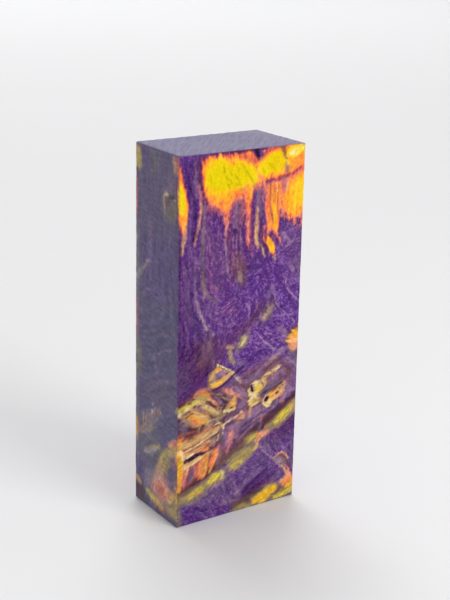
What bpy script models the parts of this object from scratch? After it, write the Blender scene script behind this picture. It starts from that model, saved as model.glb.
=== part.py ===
"""A stabilized burl block: one sawn and sanded piece of dyed maple burl, 131 x 50 x 29 mm.

It stands on its sawn end, with its wide polished face towards -Y. The origin is the centre
of the end it stands on. The burl's own hollows are cut into that face: three bark eyes, a bark
slot near the foot and the hairline cracks that follow the grain.
"""
import bpy
import bmesh
from mathutils import Vector

MM = 0.001

# Driving dimensions, in millimetres
WIDTH = 50.0
THICKNESS = 29.0
LENGTH = 131.0
EDGE_ROUND = 0.35
EDGE_ROUND_SEGMENTS = 2
TOP_CORNER_PULLED_IN = 0.6

# Hollows of the wide front face, in millimetres: across the face from its left edge, up from the foot
EYES = [
    # across, up, wide, high, deep, lean in degrees
    (30.7, 46.0, 0.9, 2.3, 0.9, 8.0),
    (37.0, 41.0, 1.5, 1.5, 0.9, 0.0),
    (22.0, 40.5, 1.3, 0.7, 0.6, 20.0),
]
BARK_SLOT = [(2.6, 24.3), (4.2, 24.8), (6.0, 25.4), (8.0, 26.2), (9.9, 26.9)]
BARK_SLOT_WIDTH = 1.1
# centre line, greatest width
CRACKS = [
    ([(9.5, 26.8), (12.0, 27.4), (15.0, 28.0)], 0.35),
    ([(15.0, 48.5), (18.0, 50.0), (21.0, 52.0), (24.0, 54.0), (29.0, 57.0), (33.0, 59.0)], 0.45),
    ([(35.6, 115.0), (35.9, 111.5), (36.6, 108.0), (37.1, 105.0)], 0.4),
    ([(33.0, 42.5), (36.0, 43.7), (40.0, 44.8), (44.0, 46.0)], 0.3),
]

HEARTWOOD_VIOLET = (0.085, 0.034, 0.190, 1.0)
POLISH_ROUGHNESS = 0.32


def clear_scene():
    """Start from an empty file."""
    for old in list(bpy.data.objects):
        bpy.data.objects.remove(old, do_unlink=True)


def make_collection(name):
    """A collection linked to the scene."""
    collection = bpy.data.collections.new(name)
    bpy.context.scene.collection.children.link(collection)
    return collection


def wood_material():
    """Violet stabilized wood, polished."""
    material = bpy.data.materials.new("dyed_burl")
    material.use_nodes = True
    shader = material.node_tree.nodes["Principled BSDF"]
    shader.inputs["Base Color"].default_value = HEARTWOOD_VIOLET
    shader.inputs["Roughness"].default_value = POLISH_ROUGHNESS
    shader.inputs["Metallic"].default_value = 0.0
    return material


def on_front(across, up, depth=0.0):
    """A point of the front face, in metres: across from its left edge, up from the foot."""
    return Vector(((across - WIDTH / 2) * MM, (-THICKNESS / 2 + depth) * MM, up * MM))


def sawn_block(collection):
    """The block itself, with its sawn corner leaning in a little and all edges broken."""
    mesh = bpy.data.meshes.new("burl_block")
    shape = bmesh.new()
    bmesh.ops.create_cube(shape, size=1.0)
    for vert in shape.verts:
        vert.co = Vector((vert.co.x * WIDTH, vert.co.y * THICKNESS, (vert.co.z + 0.5) * LENGTH)) * MM
        if vert.co.x < 0 and vert.co.y > 0 and vert.co.z > 0:
            vert.co.x += TOP_CORNER_PULLED_IN * MM
    shape.to_mesh(mesh)
    shape.free()
    block = bpy.data.objects.new("burl_block", mesh)
    collection.objects.link(block)
    mesh.materials.append(wood_material())
    edges = block.modifiers.new("broken edges", "BEVEL")
    edges.width = EDGE_ROUND * MM
    edges.segments = EDGE_ROUND_SEGMENTS
    edges.limit_method = "ANGLE"
    return block


def as_cutter(shape, collection):
    """Show a shape as a guide only."""
    collection.objects.link(shape)
    shape.hide_render = True
    shape.display_type = "WIRE"
    return shape


def eye_cutter(number, eye, collection):
    """A little pit where a bark eye was, as a flattened ball pushed into the face."""
    across, up, wide, high, deep, lean = eye
    mesh = bpy.data.meshes.new(f"eye_{number}")
    shape = bmesh.new()
    bmesh.ops.create_uvsphere(shape, u_segments=16, v_segments=10, radius=1.0)
    for vert in shape.verts:
        vert.co = Vector((vert.co.x * wide / 2, vert.co.y * deep, vert.co.z * high / 2)) * MM
    shape.to_mesh(mesh)
    shape.free()
    cutter = bpy.data.objects.new(f"eye_{number}", mesh)
    cutter.location = on_front(across, up)
    cutter.rotation_euler = (0.0, lean * 3.14159265 / 180, 0.0)
    return as_cutter(cutter, collection)


def groove_cutter(name, line, width, collection):
    """A groove that follows a line on the front face and fades out at both ends."""
    curve = bpy.data.curves.new(name, "CURVE")
    curve.dimensions = "3D"
    curve.bevel_depth = width / 2 * MM
    curve.bevel_resolution = 2
    curve.use_fill_caps = True
    spline = curve.splines.new("POLY")
    spline.points.add(len(line) - 1)
    for number, (across, up) in enumerate(line):
        spline.points[number].co = (*on_front(across, up), 1.0)
        at_an_end = number in (0, len(line) - 1)
        spline.points[number].radius = 0.35 if at_an_end else 1.0
    tube = bpy.data.objects.new(name + "_line", curve)
    collection.objects.link(tube)
    bpy.context.view_layer.update()
    seen = tube.evaluated_get(bpy.context.evaluated_depsgraph_get())
    mesh = bpy.data.meshes.new_from_object(seen)
    shape = bmesh.new()
    shape.from_mesh(mesh)
    bmesh.ops.remove_doubles(shape, verts=shape.verts, dist=0.000001)
    bmesh.ops.recalc_face_normals(shape, faces=shape.faces)
    shape.to_mesh(mesh)
    shape.free()
    cutter = bpy.data.objects.new(name, mesh)
    cutter.matrix_world = tube.matrix_world.copy()
    bpy.data.objects.remove(tube, do_unlink=True)
    return as_cutter(cutter, collection)


def cut(block, cutter):
    """Take a cutter's shape out of the block."""
    modifier = block.modifiers.new("cut " + cutter.name, "BOOLEAN")
    modifier.operation = "DIFFERENCE"
    modifier.solver = "EXACT"
    modifier.object = cutter


def build():
    """Make the block and its hollows."""
    clear_scene()
    parts = make_collection("burl_block")
    cutters = make_collection("cutters")
    block = sawn_block(parts)
    for number, eye in enumerate(EYES):
        cut(block, eye_cutter(number, eye, cutters))
    cut(block, groove_cutter("bark_slot", BARK_SLOT, BARK_SLOT_WIDTH, cutters))
    for number, (line, width) in enumerate(CRACKS):
        cut(block, groove_cutter(f"crack_{number}", line, width, cutters))


build()
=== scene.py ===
"""The looks of a stabilized burl block: dyed maple burl, polished in front and sanded elsewhere.

The figure of the wood is laid down on one dense closed mesh, a side at a time: first areas of dye
and stain, whole or in strands, then streaks, and in front fine lines and the dark pits of the eyes.
The dark pits and the dark lines along the grooves are partly dark wood and partly painted shade,
and some pale lines beside fine fissures are partly painted highlight. The dye goes to the material
as a heat, from violet at 0 through red and orange to yellow at 1, and the colours of bark and
minerals go to it as a stain. The material's nodes turn both into colour and add pores, sanding
marks with a painted glint, a pale haze that is partly sanding dust and partly painted sheen, and
gloss.
"""
import math

import bmesh
import bpy
import numpy as np
from mathutils import Matrix, Vector


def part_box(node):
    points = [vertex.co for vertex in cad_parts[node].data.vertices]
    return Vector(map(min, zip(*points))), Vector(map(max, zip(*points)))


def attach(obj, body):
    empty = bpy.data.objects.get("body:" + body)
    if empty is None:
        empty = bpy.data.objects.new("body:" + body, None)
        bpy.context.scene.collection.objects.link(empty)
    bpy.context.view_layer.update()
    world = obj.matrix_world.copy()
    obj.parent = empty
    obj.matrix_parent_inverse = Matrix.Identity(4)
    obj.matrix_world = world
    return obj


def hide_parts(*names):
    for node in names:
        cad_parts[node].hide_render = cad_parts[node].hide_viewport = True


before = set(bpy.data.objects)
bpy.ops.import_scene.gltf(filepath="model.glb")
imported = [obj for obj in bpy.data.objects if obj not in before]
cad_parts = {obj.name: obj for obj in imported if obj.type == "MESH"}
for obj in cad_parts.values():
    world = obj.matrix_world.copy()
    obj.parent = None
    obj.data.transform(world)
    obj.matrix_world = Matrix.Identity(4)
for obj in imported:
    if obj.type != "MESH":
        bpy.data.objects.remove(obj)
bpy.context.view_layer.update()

MM = 0.001
BLOCK_NODE = "burl_block"
LOWEST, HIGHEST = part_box(BLOCK_NODE)
WIDTH, THICKNESS, LENGTH = [round(side / MM, 3) for side in HIGHEST - LOWEST]
AROUND = 2 * (WIDTH + THICKNESS)

# The form, in millimetres
EDGE_ROUND = 0.35
TOP_CORNER_PULLED_IN = 0.6
# Wear of the edges: its depth, its cell size, how it runs along x, y and z, and its first seed
EDGE_WEAR = 0.06
WEAR_CELL = 1.7
WEAR_RUN = (1.0, 1.3, 1.0)
WEAR_SEED = 60

# Hollows of the front face: across from its left edge, up from the foot
EYES = [
    # across, up, wide, high, deep, lean in degrees
    (30.7, 46.0, 0.9, 2.3, 0.9, 8.0),
    (37.0, 41.0, 1.5, 1.5, 0.9, 0.0),
    (22.0, 40.5, 1.3, 0.7, 0.6, 20.0),
]
# Each groove also has a dark line painted along it among the streaks: partly dark bark, partly painted
# shade
GROOVES = [
    # width, centre line
    (1.1, [(2.6, 24.3), (4.2, 24.8), (6.0, 25.4), (8.0, 26.2), (9.9, 26.9)]),
    (0.35, [(9.5, 26.8), (12.0, 27.4), (15.0, 28.0)]),
    (0.45, [(15.0, 48.5), (18.0, 50.0), (21.0, 52.0), (24.0, 54.0), (29.0, 57.0), (33.0, 59.0)]),
    (0.4, [(35.6, 115.0), (35.9, 111.5), (36.6, 108.0), (37.1, 105.0)]),
    (0.3, [(33.0, 42.5), (36.0, 43.7), (40.0, 44.8), (44.0, 46.0)]),
]

# Dyes as (heat, value): violet is 0 and yellow is 1, and value runs from dark to pale
DYES = {
    "deep": (0.0, -0.55),
    "ink": (0.03, -0.95),
    "lilac": (0.0, 0.4),
    "plum": (0.1, -0.1),
    "maroon": (0.2, -0.5),
    "wine": (0.25, 0.0),
    "red": (0.4, 0.0),
    "pink": (0.4, 0.45),
    "salmon": (0.44, 0.3),
    "orange": (0.62, 0.0),
    "gold": (0.8, 0.0),
    "yellow": (0.98, 0.0),
    "moss": (0.98, -0.6),
}
# Stains of bark, minerals and undyed wood, as display colours
STAINS = {
    "mauve": (160, 126, 160),
    "heather": (138, 102, 124),
    "rose": (200, 120, 122),
    "peach": (246, 170, 122),
    "olive": (180, 160, 88),
    "lemon": (232, 206, 66),
    "tan": (218, 170, 112),
    "cream": (244, 222, 160),
    "rust": (176, 100, 76),
    "brown": (112, 76, 66),
    "umber": (88, 52, 54),
    "bark": (58, 30, 38),
    "slate": (108, 94, 116),
    "sage": (132, 114, 102),
    "dusk": (89, 90, 115),
    "lichen": (126, 124, 104),
    "chalk": (198, 184, 176),
    "sand": (172, 144, 126),
    "coral": (216, 116, 86),
    "flame": (238, 140, 62),
    "amber": (238, 172, 62),
    "corn": (242, 188, 36),
}

# What the heat of the dye looks like: plain, paled and darkened
PLAIN = [
    (0.0, (90, 48, 132)),
    (0.12, (102, 50, 112)),
    (0.22, (128, 58, 92)),
    (0.32, (170, 74, 78)),
    (0.42, (222, 98, 80)),
    (0.52, (244, 128, 68)),
    (0.65, (252, 156, 48)),
    (0.8, (250, 190, 30)),
    (0.92, (242, 204, 4)),
    (1.0, (234, 212, 0)),
]
PALE = [
    (0.0, (162, 122, 190)),
    (0.25, (214, 148, 172)),
    (0.45, (252, 178, 156)),
    (0.65, (254, 212, 146)),
    (1.0, (252, 242, 160)),
]
DARK = [
    (0.0, (34, 6, 34)),
    (0.3, (44, 10, 32)),
    (0.6, (104, 40, 16)),
    (1.0, (130, 104, 10)),
]

# The mesh: spacing of the points on each side, and the flat sheet of its sides, in millimetres
FRONT_SPACING = 1 / 3
LEFT_SPACING = 0.58
SIDE_SPACING = 0.73
GROOVE_END = 0.35
SHEET_GAP = 0.6
SHEET = AROUND + 4 * SHEET_GAP

# Noise: how many rows it has, how many of them lie below the foot, the steps that draw it out,
# and the seeds of the sides and the ends
NOISE_ROWS = 256
NOISE_BELOW = 40.0
DRAWN_STEPS = 11
SIDES_SEED, TOP_SEED, BOTTOM_SEED = 11, 71, 91
# Small figure, as cell size and how far it is drawn out along the grain, in millimetres
CURL = (0.5, 0.5)
FIBRE = (0.8, 4.0)
STRAND = (1.3, 6.0)
# How the pull of a grain run falls with distance, and what keeps it finite
GRAIN_FALL = 1.6
GRAIN_NEAR = 0.5
# The bare ground: its levels, and patches as (cell size in millimetres, strength)
GROUND_HEAT, HEAT_PATCHES = 0.02, [(9.0, 0.02)]
GROUND_COVER, COVER_PATCHES = 0.05, [(6.0, 0.10)]
VALUE_PATCHES = [(15.0, 0.08), (4.0, 0.06)]
WANDERING = [(2.8, 0.5), (1.2, 0.3)]
# Edges of areas and streaks: how far they wander and are frayed along the grain, in millimetres
AREA_EDGES = (0.35, 0.5)
STREAK_EDGES = (0.1, 0.2)
FRAYED_BY_FIBRE, FRAYED_BY_CURL = 0.6, 0.3
STREAK_ROUGH = 0.12
# How sharply strands are set off, and a distance farther than any on the block
STRAND_EDGE = 0.9
FAR_OFF = 99.0

# How far each side is dulled by sawing and sanding, and how far a pale haze of sanding dust and painted
# sheen covers its colour
SANDED = {"front": 0.0, "right": 0.3, "back": 0.12, "left": 0.2, "top": 0.95, "bottom": 0.7}
# Colours of the haze: sanding dust mixed with a painted sheen
DUST_AND_SHEEN_DARK = (118, 114, 137)
DUST_AND_SHEEN_PALE = (160, 157, 180)
FRONT_ROUGHNESS = 0.34
SANDED_ROUGHNESS = 0.68
SPECULAR = 0.05
RESIN_IOR = 1.5

# What the material adds: cell sizes in millimetres, and how far each part moves heat, value,
# stain, roughness and relief
SPECKLE_CELL, PORE_CELL, SCRATCH_CELL = 0.6, 0.35, 0.8
HEAT_BY_CURL, HEAT_BY_FIBRE, HEAT_BY_SPECKLE = 0.06, 0.06, 0.08
HEAT_WHERE_DYES_MEET, HEAT_ELSEWHERE = 2.4, 0.25
VALUE_BY_CURL, VALUE_BY_FIBRE, VALUE_BY_SPECKLE = 0.16, 0.07, 2.2
VALUE_ON_WARM = 0.25
COVER_BY_SPECKLE = 1.4
STAIN_BY_SPECKLE = 2.0
STAIN_DARK, STAIN_LIGHT = 0.66, 1.34
PORE_COLOUR = (40, 20, 34)
PORE_SHARE, PORE_ROUGHNESS, PORE_DEPTH = 0.35, 0.2, 1.0
SPECKLE_ROUGHNESS = 0.15
CURL_DEPTH, SCRATCH_DEPTH = 0.10, 4.0
BUMP_STRENGTH, BUMP_HEIGHT = 0.35, 0.03
# Where a mix node has its two colours and its result
MIX_FIRST, MIX_SECOND, MIX_RESULT = 6, 7, 2

# The camera, as it stood for the photograph: millimetres, degrees and pixels
CAMERA_PLACE = (-228.93, -345.82, 207.54)
CAMERA_TURN = -33.86
CAMERA_TILT = 17.67
CAMERA_ROLL = 1.14
FOCAL_PIXELS = 1247.6
PHOTO_SIZE = (450, 600)
SENSOR = 36.0
NEAREST, FARTHEST = 10.0, 10000.0

# The stage and its light
PAPER = (234, 234, 235)
PAPER_ROUGHNESS = 0.6
BLOCK_CLEAR = 300.0
SWEEP_FLOOR = 2600.0
SWEEP_BEND = 700.0
SWEEP_HIGH = 1700.0
SWEEP_STEPS = 12
SWEEP_SIDES = 96
ROOM_LIGHT = 0.52
LAMPS = {
    # place, what it is aimed at, size, watts
    "key_lamp": ((260.0, -790.0, 540.0), (0.0, 0.0, 65.0), 420.0, 4.0),
    "back_lamp": ((900.0, 2400.0, 3000.0), (300.0, 700.0, 0.0), 2600.0, 70.0),
}

# The figure of the wood, unrolled round the block. A place is (around, up) in millimetres, where
# around is 0 at the front's left edge, 50 at its right edge, 79 and 129 at the back's edges, and
# below 0 on the left side. An area is a dye or stain, softness, strength and outline. One that
# ends in 1 or -1 is laid as strands, over one or the other half of them.
AMONG_EYES = [(20, 38), (27, 38), (36, 37), (47, 44), (48, 52), (38, 55), (26, 52), (20, 46)]
ROUND_EYES = [(17, 50), (36, 57), (48, 55), (48, 44), (36, 34), (18, 31)]
COMB = [(-1, 42), (8, 50), (15, 49), (21, 44), (20, 36), (8, 34), (3, 38)]
RIGHT_SIDE = [(49, 131), (80, 131), (80, 0), (49, 0)]
BACK_SIDE = [(79, 131), (129, 131), (129, 0), (79, 0)]
FRONT_AREAS = [
    # violet ground: darker to the left, bluer in the middle, browned under the warm figure
    ("deep", 6.0, 0.35, [(-3, 102), (4, 98), (7, 84), (12, 68), (14, 52), (8, 49), (0, 47), (-3, 50)]),
    ("deep", 5.0, 0.55, [(0, 67), (8, 68), (13, 62), (13, 55), (8, 51), (0, 51)]),
    ("maroon", 6.0, 0.35, [(-2, 66), (10, 64), (13, 57), (11, 51), (-2, 50)]),
    ("slate", 4.0, 0.25, [(-2, 62), (4, 60), (6, 52), (5, 46), (-2, 45)]),
    ("deep", 4.0, 0.5, [(-1, 84), (4, 82), (6, 70), (-1, 66)]),
    ("maroon", 3.0, 0.4, [(3.6, 128), (8, 129), (9, 118), (5, 116)]),
    ("plum", 3.0, 0.4, [(17, 82), (23, 82), (24, 75), (18, 74)]),
    ("umber", 4.0, 0.55, [(6, 67), (14, 69), (18, 66), (18, 59), (13, 56), (8, 57)]),
    ("lilac", 6.0, 0.25, [(26, 86), (34, 91), (36, 83), (28, 76), (25, 80)]),
    ("lilac", 6.0, 0.3, [(33, 94), (44, 96), (51, 90), (51, 72), (44, 70), (40, 78), (36, 86)]),
    ("lilac", 6.0, 0.3, [(28, 67), (38, 75), (46, 73), (50, 67), (42, 60), (32, 54), (26, 58)]),
    ("plum", 4.0, 0.45, [(8, 114), (28, 114), (27, 90), (20, 84), (12, 82), (10, 98)]),
    ("plum", 3.0, 0.4, [(15, 68), (20, 70), (28, 74), (34, 78), (30, 70), (20, 58), (15, 58)]),
    ("heather", 6.0, 0.3, [(41, 103), (51, 102), (51, 82), (45, 82), (41, 90)]),
    ("heather", 5.0, 0.5, [(13, 32), (22, 25), (34, 32), (50, 42), (51, 53), (40, 57), (26, 51),
        (14, 50)]),
    ("heather", 5.0, 0.18, [(12, 10), (22, 15), (34, 22), (44, 27), (51, 27), (51, 11), (40, 8),
        (26, 5), (16, 2)]),
    ("lilac", 5.0, 0.25, [(3, 7), (10, 9), (18, 6), (18, 0), (3, -1)]),
    ("umber", 4.0, 0.35, [(37, 24), (41, 29), (50, 32), (51, 27), (42, 23)]),
    # strands of the upper half
    ("deep", 4.0, 0.4, [(-1, 131.6), (9, 131.6), (10, 110), (9, 84), (14, 72), (14, 58), (-1, 58)], 1),
    ("heather", 4.0, 0.2, [(-1, 104), (8, 122), (10, 110), (18, 104), (24, 84), (14, 72), (12, 58),
        (4, 58), (-1, 72)], -1),
    ("rose", 3.0, 0.22, [(19, 112), (25, 117), (34, 118), (34, 100), (28, 92), (20, 90)], -1),
    ("wine", 3.0, 0.25, [(19, 110), (28, 112), (34, 112), (30, 92), (20, 86)], 1),
    ("lilac", 4.0, 0.3, [(28, 92), (44, 104), (51, 100), (51, 66), (40, 60), (28, 60), (27, 76)], -1),
    ("deep", 4.0, 0.3, [(26, 92), (44, 104), (51, 100), (51, 66), (40, 60), (28, 58), (22, 76)], 1),
    # yellow along the left edge at the top
    ("red", 1.2, 0.8, [(-1, 130), (0.2, 128.4), (1.4, 125.4), (2.9, 120), (3.7, 115), (3.4, 110),
        (2.4, 106), (-1, 105)]),
    ("orange", 1.2, 1.0, [(-1, 127), (0.7, 125.5), (2.3, 120), (3.3, 115), (3, 110), (2, 107),
        (-1, 107.6)]),
    ("yellow", 1.8, 1.0, [(-1, 122.6), (0.8, 122), (2.2, 118), (2.4, 114.6), (1.8, 112), (-1, 111.6)]),
    # the big gold patch at the top
    ("wine", 1.6, 0.6, [(8.2, 130), (19, 130.4), (28, 131), (31, 128), (36, 131.4), (50.6, 132),
        (50.6, 120.6), (41, 118.6), (29.5, 116), (28, 111), (25, 112.6), (21, 113), (19, 105),
        (15.6, 109), (10.6, 111)]),
    ("pink", 3.2, 0.8, [(10.6, 115), (12, 112.6), (15.2, 112), (17, 109.2), (18.4, 105),
        (19.2, 107.6), (20.6, 111), (22, 113.4), (26, 114), (29, 116), (29, 119), (20, 119),
        (12, 118)]),
    ("red", 1.4, 0.8, [(8.8, 129), (13, 129.9), (20, 129.8), (28, 130.6), (30.6, 126.8), (34, 129.6),
        (40, 130.8), (50.6, 131.8), (50.6, 121.4), (41, 119.6), (34, 118.8), (29.4, 117.8),
        (24, 117.2), (9.4, 118)]),
    ("orange", 2.2, 1.0, [(9, 128.8), (13, 129.4), (20, 129), (28, 130), (30.4, 126.6), (34, 128.8),
        (40, 130.2), (50.6, 131.6), (50.6, 122.4), (46, 121.6), (40, 120.6), (34, 119.6),
        (29, 117.4), (25, 115.4), (21.4, 114.8), (19.3, 111), (18.6, 107), (17.2, 111.6),
        (12.8, 113.8), (10.8, 116), (9.2, 121)]),
    ("gold", 2.4, 1.0, [(9.4, 126), (12, 128), (14.4, 129), (16.6, 128.4), (19, 127), (24, 127.6),
        (26.4, 125.8), (30, 125.4), (33, 127), (38, 129.6), (42, 128.2), (44.4, 124.4), (40, 122),
        (34, 121), (29, 119), (21, 118), (18.6, 114.6), (13.4, 116.4), (10.6, 119)]),
    ("yellow", 3.0, 1.0, [(10, 120), (10.2, 124.6), (14, 127.6), (19, 126), (24, 126.2), (29, 124.4),
        (30, 120.6), (26, 118.4), (20, 118.8), (14.6, 118)]),
    ("yellow", 2.0, 0.9, [(30.8, 124), (34, 127), (37, 129.2), (40, 128), (40.4, 123.6), (36, 122),
        (33.4, 121)]),
    ("yellow", 1.8, 0.8, [(41.6, 128.2), (43.6, 130.4), (50.6, 131.4), (50.6, 127.8), (44, 127)]),
    ("moss", 6.0, 0.16, [(11, 118), (11, 127), (21, 127), (27, 124), (24, 118)]),
    ("moss", 4.0, 0.16, [(35, 123), (35, 128), (42, 130), (42, 124)]),
    # the gold patch under the red line, at the right
    ("wine", 2.0, 0.6, [(39.4, 119.6), (50.6, 122.6), (50.6, 101.6), (48, 102.2), (43.4, 104.6),
        (40.4, 106)]),
    ("pink", 1.8, 0.95, [(40, 119.2), (45, 120.4), (50.6, 122.6), (50.6, 102.8), (48.8, 103),
        (47.8, 106), (46.4, 103.6), (45.4, 104.8), (44.2, 104.8), (42.6, 107.6), (41.2, 107),
        (40.4, 109)]),
    ("orange", 2.2, 1.0, [(43.4, 119.2), (50.6, 122), (50.6, 105.6), (48.8, 107), (46.4, 105.2),
        (44.4, 105.2), (42.6, 107.8), (40, 110), (40.2, 114.4), (42.6, 115.6)]),
    ("gold", 3.6, 1.0, [(45, 118), (50.6, 121), (50.6, 108), (47.4, 109.6), (44.6, 107.6),
        (42.6, 112)]),
    ("yellow", 4.0, 0.6, [(47, 118), (50.6, 120.4), (50.6, 110), (48.4, 111)]),
    # warm columns of the right half
    ("pink", 1.0, 0.85, [(33.4, 112), (33.6, 117), (35, 118.4), (37, 119.4), (40, 119.4),
        (41.4, 118.6), (40.8, 113), (40.1, 107.6), (39.8, 103), (39.2, 100.6), (38, 100.6),
        (36.8, 102.2), (35.4, 100.8), (34.6, 100.6), (34.2, 106)]),
    ("orange", 0.9, 0.9, [(33.9, 112), (34.3, 116.4), (35.4, 117.6), (37, 118.8), (39.8, 118.8),
        (41, 117), (40.4, 113), (39.8, 107), (39.5, 103.2), (38.8, 101.2), (38, 101.4), (36.8, 103),
        (35.4, 101.8), (34.9, 102), (34.6, 107)]),
    ("gold", 1.4, 0.7, [(36.8, 116), (38.2, 116), (39.4, 108), (39.5, 104), (38.8, 101.6),
        (37.6, 102.6), (36.4, 106)]),
    ("pink", 1.2, 1.0, [(25.6, 118), (28.7, 118), (28.4, 112), (28.2, 104), (28.3, 99), (27.4, 97),
        (26.2, 99.4), (25.9, 105), (25.8, 111)]),
    ("orange", 1.0, 0.9, [(34.3, 100.6), (35.4, 101), (36.9, 98.8), (38.3, 95.6), (38.3, 93.4),
        (36.8, 93.8), (35.2, 97)]),
    # browned spots of the middle
    ("brown", 3.0, 0.55, [(21, 94), (24, 96), (27, 91), (26.8, 85), (24.6, 84), (22, 88)]),
    ("umber", 3.0, 0.25, [(30, 74), (33.4, 79), (38, 80), (40, 76), (38, 71), (34, 69), (27, 67),
        (20, 62), (18, 60), (19, 66)]),
    ("sage", 2.6, 0.6, [(33, 71), (35, 75), (38, 77), (39.4, 74.6), (37, 70.6), (34.4, 69.6)]),
    # the gold blob on the right edge
    ("brown", 2.4, 0.8, [(43.6, 61.4), (45, 64.6), (48, 66.6), (51, 67), (51, 57.4), (48.4, 56),
        (45.2, 58.4)]),
    ("amber", 1.6, 1.0, [(44.9, 60.6), (45.8, 63), (48.4, 65.2), (51, 65.6), (51, 60.4), (48.8, 60),
        (46.4, 59.6)]),
    ("peach", 1.6, 0.9, [(45.4, 60.2), (47.6, 62.4), (49.6, 61), (49.6, 58), (48.2, 56.6), (46, 57)]),
    # the comb of warm streaks along the left edge
    ("umber", 3.0, 0.7, [(-1, 48), (6, 50.6), (14, 51), (22, 46), (21, 38), (14, 34), (-1, 32)]),
    ("deep", 3.0, 0.5, [(5, 92), (11, 93), (12, 85), (7, 84)]),
    ("deep", 3.0, 0.4, [(20, 104), (26, 105), (27, 97), (21, 96)]),
    ("rust", 2.4, 0.5, [(-1, 44.6), (8, 49), (14, 48), (18, 42), (13, 37), (6, 37), (4, 41), (-1, 41)]),
    ("rust", 2.0, 0.75, [(-1, 35), (12, 36), (19, 35), (16.6, 26), (10, 24), (-1, 22)]),
    ("coral", 2.0, 0.75, [(-1, 24), (10, 25), (17.6, 28), (18.6, 23), (14, 18), (2, 12.6), (-1, 12.6)]),
    ("peach", 2.0, 0.5, [(1, 31), (9, 33), (18, 36), (18, 31), (13, 28), (6, 26), (2, 26)]),
    ("heather", 2.4, 0.6, [(12.6, 31.6), (20, 34), (26, 34), (24, 28), (18, 21), (16, 26)]),
    # bands of the lower half
    ("bark", 3.0, 0.85, [(-1, 11), (4, 12.6), (14, 17), (25, 23.4), (38, 31.4), (51, 40), (51, 42.6),
        (42, 37.4), (30, 30.4), (18, 21.6), (8, 16.6), (-1, 13.6)]),
    ("brown", 3.0, 0.8, [(16, 19), (23, 21), (29, 25), (33, 28.6), (31, 31.6), (24, 29.4), (19, 25)]),
    ("olive", 3.0, 0.9, [(-1, 8), (8, 9.6), (14, 12.4), (19, 14), (20.4, 18), (16, 17.6), (8, 13.8),
        (-1, 11.4)]),
    ("olive", 3.0, 0.95, [(21.4, 16.8), (25, 16.6), (30, 20), (34, 23.6), (31, 24.8), (25, 23.6),
        (21, 20.4)]),
    ("olive", 2.0, 0.95, [(28.6, 25.6), (32, 25.2), (34, 27), (33.6, 29.4), (30.6, 29), (28.2, 27.4)]),
    ("olive", 3.0, 0.95, [(37, 28), (43, 29.4), (51, 34.6), (51, 39.4), (45, 36), (39.6, 32),
        (36.6, 30.4)]),
    # gold at the foot
    ("sage", 3.0, 0.8, [(22, -1), (23, 4.4), (30, 5.8), (38, 7.4), (43, 7), (51, 6), (51, -1)]),
    ("umber", 2.4, 0.7, [(23, 2.6), (26, 5.4), (34, 7), (38, 6.6), (34, 4.6), (29, 2)]),
    # strands of the lower half
    ("bark", 2.0, 0.6, [(-1, 46), (8, 50), (14, 50), (20, 46), (20, 38), (14, 35), (4, 36),
        (-1, 40)], 1),
    ("tan", 2.0, 0.5, [(-1, 44), (4, 46), (8, 48), (14, 48), (18, 42), (16, 37), (8, 36), (4, 38)], -1),
    ("bark", 1.6, 0.45, [(1, 36), (12, 37), (20, 37), (18, 28), (10, 25), (1, 24)], 1),
    ("peach", 1.6, 0.6, [(1, 32), (10, 34), (19, 37), (17, 29), (10, 27), (2, 26)], -1),
    ("umber", 1.6, 0.4, [(1, 24), (10, 25), (18, 28), (19, 23), (12, 16), (2, 13)], 1),
    ("umber", 3.0, 0.5, AMONG_EYES, 1),
    ("mauve", 3.0, 0.35, AMONG_EYES, -1),
    ("ink", 3.0, 0.35, [(43, 30), (50, 33.6), (51, 27), (44, 26)]),
    ("ink", 3.0, 0.45, [(20, 33), (28, 35), (38, 40), (48, 45), (50, 42), (36, 32), (24, 25),
        (18, 24)], 1),
    ("mauve", 3.0, 0.4, [(18, 34), (28, 37), (38, 41), (46, 43), (36, 33), (24, 28), (16, 27)], -1),
    ("sage", 3.0, 0.5, [(0, 9), (8, 12), (20, 18), (34, 25), (36, 29), (28, 27), (14, 17), (0, 12)], 1),
    ("deep", 4.0, 0.45, [(3, 6), (20, 12), (36, 22), (50, 30), (50, 12), (36, 9), (22, 2), (3, 0)], 1),
    ("slate", 4.0, 0.28, [(6, 8), (20, 13), (36, 22), (50, 28), (50, 12), (36, 9), (22, 3),
        (8, 1)], -1),
    ("brown", 2.4, 0.5, [(24, 3), (32, 6), (42, 7), (50, 9), (50, 0), (24, 0)], 1),
    # the eyes
    ("brown", 1.6, 0.7, [(28.2, 44), (28.6, 48), (31, 49.2), (37.6, 50), (38, 47), (36, 44.4),
        (34, 42.6), (34, 39), (31, 38.6), (28.4, 39.6)]),
    ("tan", 1.0, 0.9, [(28.8, 44), (29.2, 47.4), (31, 48.4), (34, 48.4), (37, 49.2), (37, 47),
        (35.4, 44.8), (33.8, 43), (33.6, 40.4), (32, 39.4), (29.8, 39.6), (29, 41.4)]),
    ("brown", 1.6, 0.7, [(34.8, 39), (35.8, 37.6), (38.4, 37.4), (41, 39.6), (44.6, 41.8),
        (45.6, 45), (44.4, 46.2), (41, 44.6), (37, 43.2), (35, 42)]),
    ("cream", 1.0, 0.9, [(35.4, 39.2), (36.2, 38.2), (38, 38), (39.6, 39.4), (41, 41.2), (40.6, 43),
        (37.4, 42.6), (35.8, 41.6)]),
    ("tan", 1.0, 0.9, [(40, 40.2), (43.6, 42.2), (45, 44.4), (44.4, 45.4), (42.4, 44.6), (40.2, 43.2)]),
    ("brown", 1.4, 0.7, [(18.6, 40.6), (19, 39), (22, 38.6), (24.4, 39.4), (25, 42.4), (24, 45.2),
        (21.8, 44.6)]),
    ("tan", 1.0, 0.9, [(19.2, 40.4), (19.6, 39.6), (22, 39.4), (23.8, 40), (24.2, 42.4),
        (23.4, 44.4), (22.4, 44), (21, 41.8)]),
]
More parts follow.
